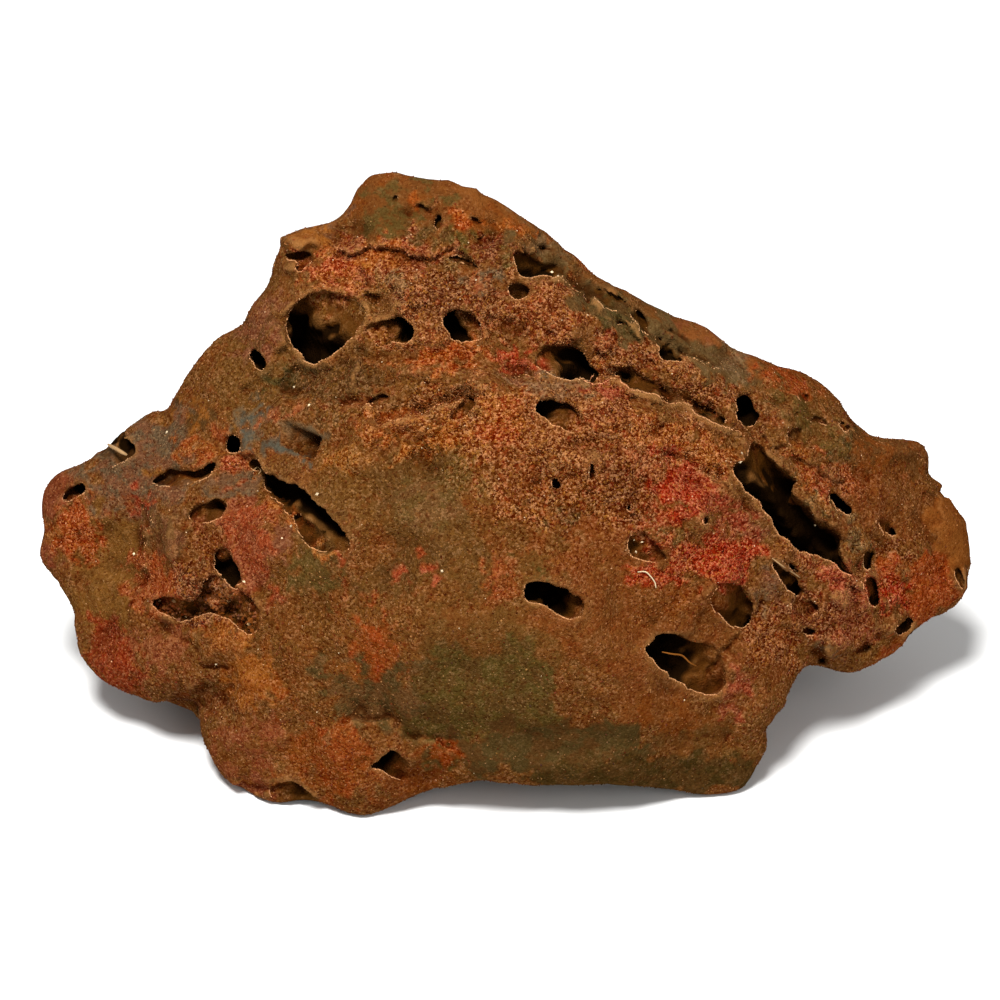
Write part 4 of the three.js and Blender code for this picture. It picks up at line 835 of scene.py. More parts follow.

# %% [markdown]
# ## Stains
# The colours of a natural stone are patches that were soaked or burnt in, one over the other.
# A single noise gives a camouflage that looks the same all over. So each patch is listed one by
# one, as an oval, from the oldest to the newest, with its main paint, the paint that
# mottles it, and how crusty it is: 0 is worn smooth and 1 is loose grit. Their edges fray
# along noise, so no oval shows.

# %%
# A few dark patches in this list are painted shade, not stains.
# List the stains of the front
# (u, v, half width, half height, turn in degrees, main paint, mottling paint, crust)
front_stains = [
    # crest
    (-12, 72, 29, 10, -10, "rust", "brown", 0.1),
    (-24, 71, 13, 8, 5, "olive", "russet", 0.05),
    (2, 75, 18, 4, -27, "tan", "tan", 0.0),
    (-43, 69, 5, 5, 20, "dusk", "tan", 0.1),
    (-7, 64.5, 13, 4.5, -8, "olive_green", "brown", 0.3),
    (12, 63, 9, 3.5, -35, "grey", "umber", 0.1),
    (-9.8, 70.5, 2, 2.8, 0, "orange", "flame", 0.5),
    (-15.4, 71.3, 1.8, 3, 10, "mahogany", "brown", 0.3),
    (-21.8, 75, 1.4, 1.8, 0, "rust", "orange", 0.2),
    (3, 68, 6.5, 1.3, -14, "orange", "amber", 0.3),
    (-13.2, 59.8, 9, 2.8, -4, "taupe", "olive", 0.5),
    (-47.5, 64.8, 5, 3, 0, "gold", "tan", 0.1),
    (-50.8, 60, 3.6, 4, 0, "amber", "brown", 0.2),
    (-55, 54, 4, 6, -15, "brown", "khaki", 0.2),
    # granular crusts under the crest
    (-30, 58, 17, 8, 8, "wine", "bronze", 0.8),
    (-40.5, 56, 8.5, 5, -10, "cherry", "ochre", 0.8),
    (-28.5, 61, 7.5, 3.8, 10, "orange", "ochre", 0.7),
    (-45, 51, 5, 3, 20, "mustard", "brick", 0.5),
    (-2.3, 62.5, 5.5, 3.6, 15, "dark_red", "dark_red", 0.7),
    (-24.2, 54.5, 5, 3.4, 20, "grey", "taupe", 0.6),
    (-32, 49, 5, 4, 30, "mustard", "umber", 0.5),
    (-16.8, 50.5, 10.5, 7, 10, "cocoa", "bronze", 1.0),
    (-3.8, 53.8, 6.5, 5, -20, "slate", "brick", 0.4),
    (-2, 47, 8, 5, 0, "mahogany", "taupe", 0.8),
    (13, 47, 11, 8.5, -15, "rust", "brick", 1.0),
    (9, 43, 7, 4, 0, "mahogany", "umber", 0.8),
    (32, 38.5, 9, 6, -25, "cocoa", "brick", 0.8),
    (31.5, 41.8, 3.6, 2.6, -20, "crimson", "pink_red", 0.6),
    (-22, 41, 10, 3.6, 0, "tan", "mahogany", 0.9),
    (51, 29, 8.5, 5.5, -28, "chestnut", "bronze", 0.9),
    # smooth band of the right slope
    (38, 43.5, 31, 6, -31, "sage", "umber", 0.05),
    (55, 39, 16, 2.4, -30, "clay", "tan", 0.0),
    (30, 52, 12, 2.6, -30, "brown", "taupe", 0.0),
    (29, 46, 7, 3, -35, "moss", "sage", 0.15),
    (59, 34, 6, 3, -28, "stone_grey", "sage", 0.2),
    (72, 30, 9, 4, -28, "rust", "tan", 0.1),
    (86, 11.8, 9, 5.4, -42, "moss", "brown", 0.25),
    (74, 11.5, 5.5, 3, -32, "rust_ochre", "ochre", 0.5),
    (66, 21, 5, 5, -30, "russet", "umber", 0.5),
    # right end
    (98, 8.5, 10, 6, -15, "rust", "umber", 0.15),
    (98, -4, 12, 11, 0, "brown", "russet", 0.25),
    (96, -14, 7, 6, 0, "chestnut", "khaki", 0.6),
    (113, -8, 4.6, 14, -4, "bronze", "rust", 0.05),
    (80, 0.8, 9.5, 2.8, -42, "moss", "bronze", 0.5),
    (88.8, -11.3, 3.4, 8.6, 12, "sage", "ochre", 0.45),
    (78.8, 5.4, 7.5, 2.2, -42, "deep_red", "amber", 0.7),
    (87, -25, 8, 8, 0, "wine", "mahogany", 0.7),
    (90.4, -24.5, 1.8, 3.8, -20, "pink_red", "crimson", 0.7),
    (87, -33.5, 5.2, 5, 0, "wine", "bronze", 0.7),
    (93.3, -36.8, 5, 3, 20, "mustard", "umber", 0.3),
    (98, -37, 5, 2, 35, "rust_ochre", "deep_red", 0.3),
    (76, -28, 8, 5, -20, "chestnut", "mauve", 0.7),
    (80.5, -36.3, 4.5, 1.7, -35, "slate", "grey", 0.05),
    # broad middle plate
    (22, 14, 36, 17, -12, "tan", "russet", 1.0),
    (15, 28.6, 14, 3.4, -3, "slate", "bronze", 0.5),
    (49, 19.5, 3.4, 2.2, -20, "mauve", "bronze", 0.9),
    (15, 1.3, 15, 9, 0, "rust", "khaki", 0.85),
    (18.3, -4.8, 6, 2.8, -10, "cocoa", "moss", 0.5),
    (34, 8, 6, 3.6, 0, "mahogany", "brick", 0.6),
    (62, -7, 5, 3.6, -30, "mauve", "dusk", 0.5),
    (42, -14.5, 11, 5.4, 0, "deep_red", "cherry", 0.9),
    (39, -5, 7, 5, 0, "deep_red", "umber", 0.6),
    (45, -7.3, 2.6, 3.2, 20, "khaki", "olive", 0.3),
    (33, -8, 3, 4, 0, "russet", "brick", 0.8),
    (77, -15, 8, 3.4, -35, "tan", "brick", 1.0),
    (85, -18, 2.6, 2.2, 0, "pink_red", "pink_red", 0.7),
    # folds left of the middle
    (-40, 28, 18, 7, 0, "umber", "umber", 0.35),
    (-12.5, 24, 13, 5, 10, "tan", "umber", 0.9),
    (-36, 22, 9, 4, 15, "khaki", "mahogany", 0.4),
    (-62, 31, 9, 13, 0, "khaki", "khaki", 0.25),
    (-60, 43, 5, 8, -15, "mauve", "umber", 0.25),
    (-54.3, 30, 5.5, 3.6, 0, "moss", "umber", 0.2),
    (-77, 20, 6, 4.4, 30, "umber", "ochre", 0.15),
    # belly
    (-25, -6, 21, 19, 0, "khaki", "umber", 0.2),
    (-46.5, -17.5, 8, 6, 0, "olive", "umber", 0.15),
    (-38, 3, 9, 7, -20, "khaki", "khaki", 0.25),
    (25, -15, 17, 8, -5, "russet", "russet", 0.3),
    (-2, -34, 18, 13, 0, "khaki", "brown", 0.15),
    (37.5, -32, 26, 17, -18, "brown", "russet", 0.2),
    (-4, -51, 25, 14, -4, "olive_green", "umber", 0.15),
    (-33, -48, 14, 9, 0, "taupe", "moss", 0.15),
    (14, -63, 30, 7, 0, "umber", "moss", 0.05),
    (0.3, -19.5, 4.4, 4.8, 0, "brick", "rust", 0.35),
    (8.8, -17, 4, 3.2, 0, "olive_green", "brown", 0.15),
    (-36.5, -43, 4, 2, -10, "bronze", "khaki", 0.2),
    (-39.3, -13.8, 0.9, 1.3, 0, "pink_red", "flame", 0.3),
    (-23.8, -18.6, 1.5, 2, 0, "flame", "pink_red", 0.3),
    (-18, -16.8, 1.2, 2.1, 20, "pink_red", "flame", 0.3),
    (-39, -23.5, 1, 1.5, 0, "pink_red", "brown", 0.3),
    (-30, -24.4, 1.7, 1, 0, "flame", "brown", 0.3),
    (42.5, -54.5, 13, 4.5, -15, "rust", "brown", 0.15),
    (59.5, -47.5, 2.6, 7.5, -14, "wine", "pink_red", 0.35),
    (50, -66, 14, 8, 0, "khaki", "brown", 0.15),
    (42.5, -25.5, 9.5, 4.6, 0, "rust", "brown", 0.3),
    (68, -34, 7, 8.5, -30, "chestnut", "bronze", 0.7),
    (66.5, -22.5, 2.2, 3.4, 0, "stone_grey", "mauve", 0.3),
    # left plate and flank
    (-92, 7, 16, 12, 30, "slate", "mauve", 0.2),
    (-71, 16.8, 2.6, 1.9, 0, "brick", "orange", 0.4),
    (-75, 10, 4.4, 2.4, -10, "flame", "ochre", 0.5),
    (-80, 6, 7, 1.8, -8, "mustard", "ochre", 0.2),
    (-66.8, 9, 5.2, 2.8, 0, "flame", "pink_red", 0.8),
    (-66.8, 3.6, 8.5, 3.8, 0, "slate", "dusk", 0.15),
    (-74, -8, 5.5, 4, 0, "brown", "wine", 0.4),
    (-60.5, -4, 4.8, 3.2, -30, "brick", "wine", 0.45),
    (-89.5, -0.5, 3, 2.8, 0, "scarlet", "crimson", 0.3),
    (-112.5, 1, 4.5, 8, -20, "russet", "mauve", 0.15),
    (-110, -9, 5, 4.4, 0, "amber", "tan", 0.45),
    (-113, -13, 3.6, 5, -30, "wine", "purple", 0.2),
    (-98.8, -18.8, 9.5, 16, -12, "mustard", "khaki", 0.15),
    (-73.8, -25, 13.5, 7, -4, "cocoa", "brick", 0.9),
    (-83, -28.5, 6, 2, -5, "rust_ochre", "ochre", 0.6),
    (-93, -45, 8, 5, -30, "deep_red", "wine", 0.4),
    (-74, -49, 14, 6, -15, "khaki", "mahogany", 0.35),
    (-60.8, -46.5, 5.6, 4.2, -20, "flame", "ochre", 0.35),
    (-60, -71, 8, 3, -10, "wine", "ochre", 0.3),
    (-43.8, -59.8, 4.4, 2.2, -30, "flame", "flame", 0.3),
    # patches of the upper crusts
    (-12, 36, 10, 3.4, 4, "orange", "flame", 0.7),
    (5, 34.6, 5.2, 3, -10, "pink_red", "hot_red", 0.5),
    (9, 28.6, 9.5, 2.2, -8, "mauve", "stone_grey", 0.4),
    (20.5, 29.8, 4.5, 2.4, 0, "grey", "mauve", 0.4),
    (27.5, 27, 4.4, 2.4, -10, "crimson", "pink_red", 0.7),
    (27, 22, 5.5, 3.4, 0, "mahogany", "rust", 0.9),
    (0, 21, 6.5, 6.5, 0, "amber", "flame", 0.95),
    (-1, 15.8, 4.4, 3, 0, "flame", "orange", 0.95),
    (-16.5, 14.8, 9, 4.6, 25, "gold", "ochre", 0.85),
    (23.5, 13.5, 5.5, 2.6, 0, "chestnut", "khaki", 0.6),
    (40, 16, 10, 4, -25, "bronze", "orange", 1.0),
    (52, 12.5, 7, 4, -35, "amber", "copper", 1.0),
    (36.5, 9.2, 6, 2.4, -20, "clay", "salmon", 0.6),
    # partly painted shade below a ridge
    (30.5, 2.5, 6.5, 9, 20, "chestnut", "cocoa", 0.7),
    (46, 3, 6.2, 8, 30, "hot_red", "crimson", 0.7),
    (55, -0.5, 7.5, 3.6, -40, "crimson", "deep_red", 0.6),
    (57, -14, 9.5, 6.6, 0, "hot_red", "scarlet", 0.8),
    (58.5, -5, 6, 4.2, -20, "wine", "crimson", 0.5),
    (40, -18.8, 8, 2.6, -5, "scarlet", "hot_red", 0.7),
    (-8.5, 6.8, 9.5, 5, -10, "khaki", "olive", 0.4),
    (-19, -1.5, 8, 6.5, 0, "taupe", "olive", 0.2),
    (-39, 10, 5, 3, 0, "mustard", "ochre", 0.5),
    (-27, 19, 8, 4, 10, "bronze", "orange", 0.7),
    (2, 6, 8, 5.5, 0, "russet", "khaki", 0.6),
    (-14, 49, 8, 4.5, 0, "cocoa", "chestnut", 0.8),
    (13.5, 47.5, 5.5, 5.5, 0, "russet", "chestnut", 0.8),
    (35, 34.8, 6, 3, -25, "chestnut", "cocoa", 0.7),
    # partly painted shade beside the recess under the crest
    (0, 63.5, 3, 2.4, 0, "cocoa", "dark_red", 0.6),
    # painted shade under the crest
    (-19, 66.5, 5, 2.4, 0, "umber", "shade_olive", 0.2),
    # painted shade along the bottom of the belly
    (38, -68.5, 34, 5, 0, "shade_olive", "umber", 0.1),
    (-14.5, -63.5, 4, 3, 0, "copper", "rust", 0.3),
    # patches of the right end
    (89, 4, 9, 4.5, -42, "russet", "chestnut", 0.3),
    (71.5, 29.6, 6.6, 3.6, -28, "flame", "rust", 0.3),
    (77, 19.5, 11, 3.6, -42, "khaki", "olive_green", 0.2),
    (84, 6, 5.5, 2.6, -42, "chestnut", "flame", 0.6),
    (106, -21.5, 11, 6.5, -25, "flame", "copper", 0.35),
    (97.5, -22.5, 4.6, 4.6, 0, "hot_red", "chestnut", 0.7),
    (83.2, -18.3, 4, 2.2, -25, "crimson", "pink_red", 0.6),
    (89, -29.5, 4.6, 6, 0, "wine", "tan", 0.6),
    (79.3, -29, 3.4, 6.5, 15, "chestnut", "dark_red", 0.7),
    (67.3, -20, 2.4, 3, 0, "mauve", "slate", 0.3),
    # patches of the left plate, the flank and the foot
    (-106, -6.5, 5.4, 8.5, 15, "copper", "flame", 0.6),
    (-112.3, 1, 3.4, 5.5, -20, "wine", "dark_red", 0.2),
    (-97, -0.8, 4.2, 2.6, 0, "dusk", "brick", 0.3),
    (-83.5, -8, 4.8, 7.4, 0, "taupe", "mauve", 0.2),
    (-86.5, -22, 5, 8.5, 15, "brick", "flame", 0.45),
    (-63, -12, 7.4, 13, 15, "wine", "cherry", 0.35),
    (-53.8, -9, 2.6, 6.5, -15, "mauve", "mauve", 0.2),
    (-73, -13.5, 4, 5.5, 0, "chestnut", "umber", 0.5),
    (-73.5, 11.6, 5.8, 4.6, 0, "bronze", "flame", 0.4),
    (-30.5, -36.5, 5.6, 6.4, 30, "flame", "rust", 0.25),
    (-97, -40, 7, 9, 30, "deep_red", "dark_red", 0.3),
    (-84, -37, 5.5, 6, 0, "clay", "wine", 0.3),
    (-68, -34, 6.4, 4.5, -10, "bronze", "amber", 0.4),
    (-82, -48, 7, 3, -10, "chestnut", "umber", 0.3),
    (-62, -45, 6, 8, 0, "rust_ochre", "ochre", 0.3),
    (-62, -61, 10, 7, 0, "brown", "wine", 0.25),
    (-40, -66, 14, 9, -10, "rust", "copper", 0.3),
    (-22, -70, 8, 5, 0, "chestnut", "rust", 0.2),
    # cast of the splinter
    (-61.3, 19, 4.4, 4.6, 0, "slate_blue", "grey", 0.05),
    (-49.8, 18, 6.6, 1.2, -24, "stone_grey", "slate", 0.0),
    (-54.2, 12.6, 6.8, 1.4, -24, "slate_blue", "slate", 0.0),
    (-51, 15.2, 5.2, 2, -24, "khaki", "umber", 0.3),
    (-55.5, 21.3, 4.4, 1.2, 25, "salmon", "mauve", 0.4),
    (-51.5, -5, 9.5, 1.5, -46, "gold", "orange", 0.45),
]
print(len(front_stains), "stains on the front")

# %%
# List the stains of the back
# The photograph doesn't show this side, so it has the same paints in calmer patches, listed
# in the same way.
back_stains = [
    (-20, 50, 34, 26, 0, "brown", "russet", 0.25),
    (-22, 70, 22, 10, -8, "rust", "taupe", 0.1),
    (30, 40, 32, 12, -28, "taupe", "russet", 0.15),
    (60, 26, 22, 9, -25, "russet", "olive_green", 0.2),
    (8, 50, 14, 9, 10, "brick", "bronze", 0.8),
    (-48, 34, 18, 12, 20, "khaki", "umber", 0.3),
    (-84, 8, 22, 16, 15, "wine", "clay", 0.3),
    (-106, -6, 10, 14, 0, "tan", "ochre", 0.4),
    (-66, 8, 10, 6, -15, "orange", "amber", 0.6),
    (-30, 14, 24, 13, 5, "bronze", "russet", 0.9),
    (-16, 2, 10, 6, -10, "scarlet", "brick", 0.8),
    (20, 16, 22, 11, -10, "brown", "bronze", 0.5),
    (46, 8, 14, 9, 0, "mahogany", "crimson", 0.7),
    (74, -2, 18, 12, -20, "bronze", "brick", 0.9),
    (98, -6, 16, 14, 0, "tan", "rust", 0.2),
    (60, -22, 24, 12, -10, "khaki", "brown", 0.25),
    (14, -20, 26, 14, 0, "olive", "sage", 0.15),
    (-34, -22, 22, 12, 8, "taupe", "umber", 0.3),
    (-70, -22, 20, 12, 0, "russet", "wine", 0.4),
    (-92, -32, 14, 10, 0, "deep_red", "purple", 0.4),
    (-4, -44, 44, 14, 0, "moss", "umber", 0.15),
    (44, -48, 24, 14, 0, "brown", "russet", 0.3),
    (-56, -50, 24, 14, 0, "khaki", "brown", 0.3),
    (4, -66, 60, 12, 0, "umber", "khaki", 0.1),
    (28, -4, 7, 4, 20, "slate", "dusk", 0.1),
    (-52, -8, 6, 4, 0, "ochre", "amber", 0.5),
    (84, 10, 6, 3, -30, "flame", "orange", 0.4),
]

# %% [markdown]
# ## Paint the boards
# Every stain has an edge that wanders with noise as wide as the stain and again with fine
# noise, so that large stains get bays and small ones only frayed rims. Main paint, mottling
# paint and crust go to boards of their own, because the material needs them apart.

# %%
# Paint both boards
FRAYS = {wave: board_noise(wave, 2, wave) for wave in (4, 10, 24)}
STAIN_FRAY, FINE_FRAY = 0.22, 0.6  # as a share of the stain, and in mm
STAIN_RIM, STAIN_BLUR = 0.96, 0.6  # the rim's place as a share of the stain, and mm of blur
BARE_CRUST = 0.3  # where there is no stain


def draw_stains(stains):
    main = np.ones(BOARD_U.shape + (3,)) * PAINTS["brown"]
    mottle = np.ones(BOARD_U.shape + (3,)) * PAINTS["khaki"]
    crust = np.full(BOARD_U.shape, BARE_CRUST)
    for u, v, wide, high, turn, main_name, mottle_name, crusty in stains:
        across, up = turned(BOARD_U - u, BOARD_V - v, turn)
        size = math.sqrt(wide * high)
        wave = min(FRAYS, key=lambda length: abs(length - size))
        frayed = np.hypot(across / wide, up / high) + STAIN_FRAY * FRAYS[wave]
        frayed += FINE_FRAY / size * FRAYS[4]
        share = 1 - smooth_step((frayed - STAIN_RIM) * size, -STAIN_BLUR, STAIN_BLUR)
        main += share[..., None] * (PAINTS[main_name] - main)
        mottle += share[..., None] * (PAINTS[mottle_name] - mottle)
        crust += share * (crusty - crust)
    return main, mottle, crust


front_main, front_mottle, front_crust = draw_stains(front_stains)
back_main, back_mottle, back_crust = draw_stains(back_stains)
print("mean crust of the front", round(front_crust.mean(), 2))

# %% [markdown]
# ## Roughen the clay
# Only the cells near the surface need work. First come gentle lumps all over, then the
# ledges and creases from the boards, then grit and small pits where the board says crust.
# Near the ground nothing is changed, so that the stone keeps the flat lands it rests on.

# %%
# Lumps, ledges and grit
WORK_DEPTH = 4.6  # mm to either side of the surface
GROUND_FADE = 4.0  # mm above the ground within which all relief dies away
# Below, each noise has its height, its size in mm and a shift that makes it differ.
near = np.abs(clay) < WORK_DEPTH
points = ((np.argwhere(near) + first_cell) * CELL).astype(np.float32)
depths = clay[near]
u, v, w = face_places(points)
front = front_share(u, w)


def both_boards(front_board, back_board, u, v, share):
    share = share[:, None] if front_board.ndim == 3 else share
    return share * read_board(front_board, u, v) + (1 - share) * read_board(back_board, u, v)


relief = both_boards(front_relief, back_relief, u, v, front)
crust = both_boards(front_crust, back_crust, u, v, front)
pillows = np.abs(noise(points, 13, 31) + 0.2 * noise(points, 6, 35)) - 0.6
lumps = 0.35 * noise(points, 17, 5) + (0.15 + 0.3 * crust) * pillows
grit = 0.1 * noise(points, 3.4, 50) + 0.12 * noise(points, 1.8, 70)
pits = 0.9 * smooth_step(noise(points, 4.4, 90), 1.6, 2.3)
off_ground = smooth_step(points[:, 2], 0, GROUND_FADE)
depths -= off_ground * (relief + lumps + (0.15 + crust) * grit - (0.1 + crust) * pits)
print(len(points), "cells worked")

# %% [markdown]
# ## Galleries of the back
# The back and the ends are seen less and have fewer galleries. Here each is a tunnel with an
# oval mouth that narrows and bends inwards, dug along the same stations as in the solid but a
# little wider and with wandering walls.

# %%
# List the galleries of the back and the ends
# (height over width of the mouth, turn in degrees, lip, stations (u, v, w, half width)).
back_galleries = [
    (0.8, -15, 0.3, [(20, 40, -51, 5.2), (20, 39, -41, 4.6), (18, 36.5, -26, 3)]),
    (1, 0, 0.3, [(-40, 40, -49, 3.3), (-40, 40, -40, 2.9), (-38, 38, -27, 2.1)]),
    (0.8, 0, 0.3, [(-15, 60, -31, 3.2), (-15, 60, -23, 2.7), (-14, 58, -15, 1.8)]),
    (1, 0, 0.3, [(0, 60, -32, 2.6), (0, 60, -25, 2.2), (0, 60, -21, 1.5)]),
    (0.7, 20, 0.3, [(60, 20, -62, 4.4), (60, 20, -53, 3.9), (57, 18, -36, 2.5)]),
    (0.62, -15, 0.4, [(-70, 10, -67, 7), (-70, 10, -57, 6), (-66, 8, -40, 3.4)]),
    (0.6, 12, 0.4, [(-20, 10, -84, 9), (-20, 10.5, -74, 7.6), (-17, 13, -56, 4.4)]),
    (1, 0, 0.3, [(-6, 23, -72, 3.2), (-6, 23, -64, 2.8), (-7, 22, -52, 2)]),
    (0.8, 70, 0.3, [(30, 5, -83, 3.8), (30, 5, -74, 3.3), (31, 7, -57, 2.2)]),
    (0.66, -30, 0.4, [(70, -5, -72, 6), (70, -5, -63, 5.2), (67, -3, -47, 3.2)]),
    (1, 0, 0.3, [(95, -5, -60, 3.1), (95, -5, -52, 2.7), (93, -5, -43, 1.8)]),
    (0.8, 0, 0.3, [(50, -20, -84, 4.6), (50, -20, -75, 4), (49, -18, -60, 2.6)]),
    (0.7, 60, 0.3, [(0, -15, -93, 4.2), (0, -15, -84, 3.7), (2, -12, -68, 2.4)]),
    (0.5, 30, 0.3, [(-50, -10, -83, 5.6), (-50, -10, -74, 5), (-48, -8, -60, 3)]),
    (0.8, 0, 0.3, [(-80, -20, -67, 3.7), (-80, -20, -58, 3.2), (-78, -18, -46, 2.1)]),
    (1, 90, 0.3, [(-122, -8, -44, 3.2), (-113, -8, -44, 2.8), (-101, -7, -45, 1.9)]),
    (0.8, 90, 0.3, [(124, -14, -50, 3.4), (114, -14, -50, 3), (101, -13, -50, 2)]),
    (0.8, 0, 0.3, [(-98, -56, -42, 3.6), (-96, -44, -42, 3), (-94, -33, -42, 2)]),
    (0.7, 0, 0.3, [(88, -52, -45, 4.2), (87, -42, -45, 3.6), (86, -30, -46, 2.2)]),
]
print(len(back_galleries), "galleries behind")

# %%
# Dig the galleries of the back
WIDER = 0.6  # mm that each gallery is dug beyond the solid's
LIP_WIDTH = 0.9
LIP_PLACE = 1.2  # mm from the wall to the highest place of the lip
LIP_ROOM = 3.0  # mm round a gallery in which its lip still counts
FAR_OFF = 9.0  # mm, for places that are near no gallery


def gallery_distance(places, stations, flat, turn):
    """About how far each place is outside the wall of a gallery, below zero inside it."""
    *centres, halves = np.array(stations, np.float32).T
    centres = np.array(centres).T
    mouth_line = np.array([math.cos(math.radians(turn)), math.sin(math.radians(turn)), 0], np.float32)
    nearest = np.full(len(places), np.inf, np.float32)
    for start, end, half, next_half in zip(centres, centres[1:], halves, halves[1:]):
        run = end - start
        ahead = run / np.linalg.norm(run)
        wide = mouth_line - (mouth_line @ ahead) * ahead
        wide /= np.linalg.norm(wide)
        high = np.cross(ahead, wide)
        share = np.clip((places - start) @ run / (run @ run), 0, 1)
        offset = places - start - share[:, None] * run
        x, y, z = offset @ wide, offset @ high, offset @ ahead
        radius = np.sqrt(x**2 + (y / flat) ** 2 + z**2) + 1e-4
        slope = np.sqrt(x**2 + (y / flat**2) ** 2 + z**2) / radius + 1e-4
        nearest = np.minimum(nearest, (radius - half - share * (next_half - half)) / slope)
    return nearest


wander = [0.8 * noise(points, 7, 3 + i) + 0.3 * noise(points, 2.8, 13 + i) for i in (0, 30, 60)]
wandering = np.stack([u + wander[0], v + wander[1], w + wander[2]], axis=1)
hollow = np.full(len(points), FAR_OFF, np.float32)  # distance to the nearest gallery wall
for flat, turn, lip, stations in back_galleries:
    centres = np.array(stations)[:, :3]
    spread = np.array(stations)[:, 3].max() * max(1, flat) + LIP_ROOM
    low, high = centres.min(axis=0) - spread, centres.max(axis=0) + spread
    beside_it = np.flatnonzero(((wandering > low) & (wandering < high)).all(axis=1))
    distance = gallery_distance(wandering[beside_it], stations, flat, turn)
    raised = lip * np.exp(-(((distance - LIP_PLACE) / LIP_WIDTH) ** 2))
    depths[beside_it] -= raised * off_ground[beside_it]
    hollow[beside_it] = np.minimum(hollow[beside_it], distance)
depths = np.maximum(depths, WIDER - hollow)
print("gallery walls in", (np.abs(hollow - WIDER) < CELL).sum(), "cells")

# %% [markdown]
# ## The cast of the splinter
# Left of the middle a straight splinter of slate was once baked in and has dropped out. It
# left a rectangular recess with crisp edges, so that one is dug as a box, without wandering.

# %%
# Dig the cast and flatten the base
SPLINTER = {"u": -51.8, "v": 15.4, "w": 12.0, "long": 13.5, "high": 5.6, "deep": 7.0, "turn": -22.0}
CAST_WIDER = 0.25  # mm that the cast is dug beyond the solid's
RUSTY_LUMP = np.array([4.8, 60.6, 3.6])  # a ball of rust in the recess under the crest
RUSTY_LUMP_RADIUS = 2.4
along, above = turned(u - SPLINTER["u"], v - SPLINTER["v"], SPLINTER["turn"])
floor_w = SPLINTER["w"] - SPLINTER["deep"] / 2
sides = [np.abs(along) - SPLINTER["long"] / 2, np.abs(above) - SPLINTER["high"] / 2, floor_w - w]
depths = np.maximum(depths, CAST_WIDER - np.maximum.reduce(sides))
lump_away = np.linalg.norm(wandering - RUSTY_LUMP, axis=1)
depths = np.minimum(depths, lump_away - RUSTY_LUMP_RADIUS)
depths = np.maximum(depths, -points[:, 2])
clay[near] = depths

# %% [markdown]
# ## Carve the mouths
# Each mouth is carved behind its own outline, down to its own floor. The walls lean a little
# outwards as they go in, so the rims overhang and stay thin, as where a crust was bitten
# through. A fine noise frays outline and floor.

# %%
# Carve
FRAY = 0.18  # mm
UNDERCUT = 0.1  # mm that the wall goes back for each mm of depth
RIM_HEIGHT = 0.35
RIM_PLACE, RIM_WIDTH = 0.9, 0.8  # mm outside the outline
RIM_REACH = 3.0  # mm of depth
FLOOR_ROUNDING = 0.8
FLOOR_UNEVEN = 0.25
POST_SOFTNESS = 0.5  # square mm round a post that count as the post itself
MOUTH_ROOM = 9.0  # mm round an outline that its leaning tube may reach


def floor_under(posts, u, v):
    """Depth of the floor: a mean of the posts' depths in which near posts count most."""
    total = weights = 0
    for post_u, post_v, post_depth in posts:
        weight = ((u - post_u) ** 2 + (v - post_v) ** 2 + POST_SOFTNESS) ** -2.2
        total = total + weight * post_depth
        weights = weights + weight
    return total / weights


def rounded_max(first, second, rounding):
    share = np.clip(0.5 + 0.5 * (first - second) / rounding, 0, 1)
    return second + share * (first - second) + rounding * share * (1 - share)


def mouth_places(mouth, ring, points, u, v, depth):
    """How far each place is outside the leaning tube behind a mouth, and how deep its floor is."""
    (lean_u, lean_v), posts, _ = mouth
    leant = np.clip(depth, 0, TUBE_DEPTH)
    bent_u = u - lean_u * leant + FRAY * (noise(points, 4, 11) + 0.5 * noise(points, 1.8, 12))
    bent_v = v - lean_v * leant + FRAY * (noise(points, 4, 41) + 0.5 * noise(points, 1.8, 42))
    away = outside(ring, bent_u, bent_v) - UNDERCUT * np.clip(depth - 0.5, 0, 6)
    return away, floor_under(posts, bent_u, bent_v) + FLOOR_UNEVEN * noise(points, 3.5, 77)


carved = 0
for mouth, ring in zip(front_mouths, front_rings):
    cells, chosen, near_points, u, v, depth = clay_behind(ring, MOUTH_ROOM)
    depth = depth + read_board(front_relief, u, v)
    away, floor_depth = mouth_places(mouth, ring, near_points, u, v, depth)
    hole = rounded_max(away, depth - floor_depth, FLOOR_ROUNDING)
    rim = RIM_HEIGHT * np.exp(-(((away - RIM_PLACE) / RIM_WIDTH) ** 2)) * (np.abs(depth) < RIM_REACH)
    carved += (hole < 0).sum()
    change_clay(cells, chosen, lambda old: np.maximum(old - rim, -hole))
print(carved, "cells carved")

# %% [markdown]
# ## From clay back to a skin
# OpenVDB lays a skin of small squares through all places at distance zero. That is about
# 700,000 triangles, most of them on even ground, so a Decimate modifier takes out the ones
# that matter least. A vertex group tells it to spare the front, with its crusts and rims.

# %%
# Take the skin
SKIN_TRIANGLES = 196_000
FRONT_THINNING = 0.35  # beside 1 on the back


def make_mesh(name, places, faces):
    mesh = bpy.data.meshes.new(name)
    mesh.vertices.add(len(places))
    mesh.vertices.foreach_set("co", (places * MM).astype(np.float32).ravel())
    mesh.loops.add(faces.size)
    mesh.loops.foreach_set("vertex_index", faces.astype(np.int32).ravel())
    mesh.polygons.add(len(faces))
    mesh.polygons.foreach_set("loop_start", np.arange(0, faces.size, faces.shape[1], dtype=np.int32))
    mesh.polygons.foreach_set("use_smooth", np.ones(len(faces), dtype=bool))
    mesh.update(calc_edges=True)
    mesh.validate()
    return mesh


def largest_shell(count, faces):
    """The faces of the largest shell. A crumb of clay that hangs free is left out."""
    label = np.arange(count)
    while True:
        joined = label.copy()
        lowest = label[faces].min(axis=1)
        for column in faces.T:
            np.minimum.at(joined, column, lowest)
        joined = joined[joined]
        if (joined == label).all():
            break
        label = joined
    shell = label[faces[:, 0]]
    return faces[shell == np.bincount(shell).argmax()]


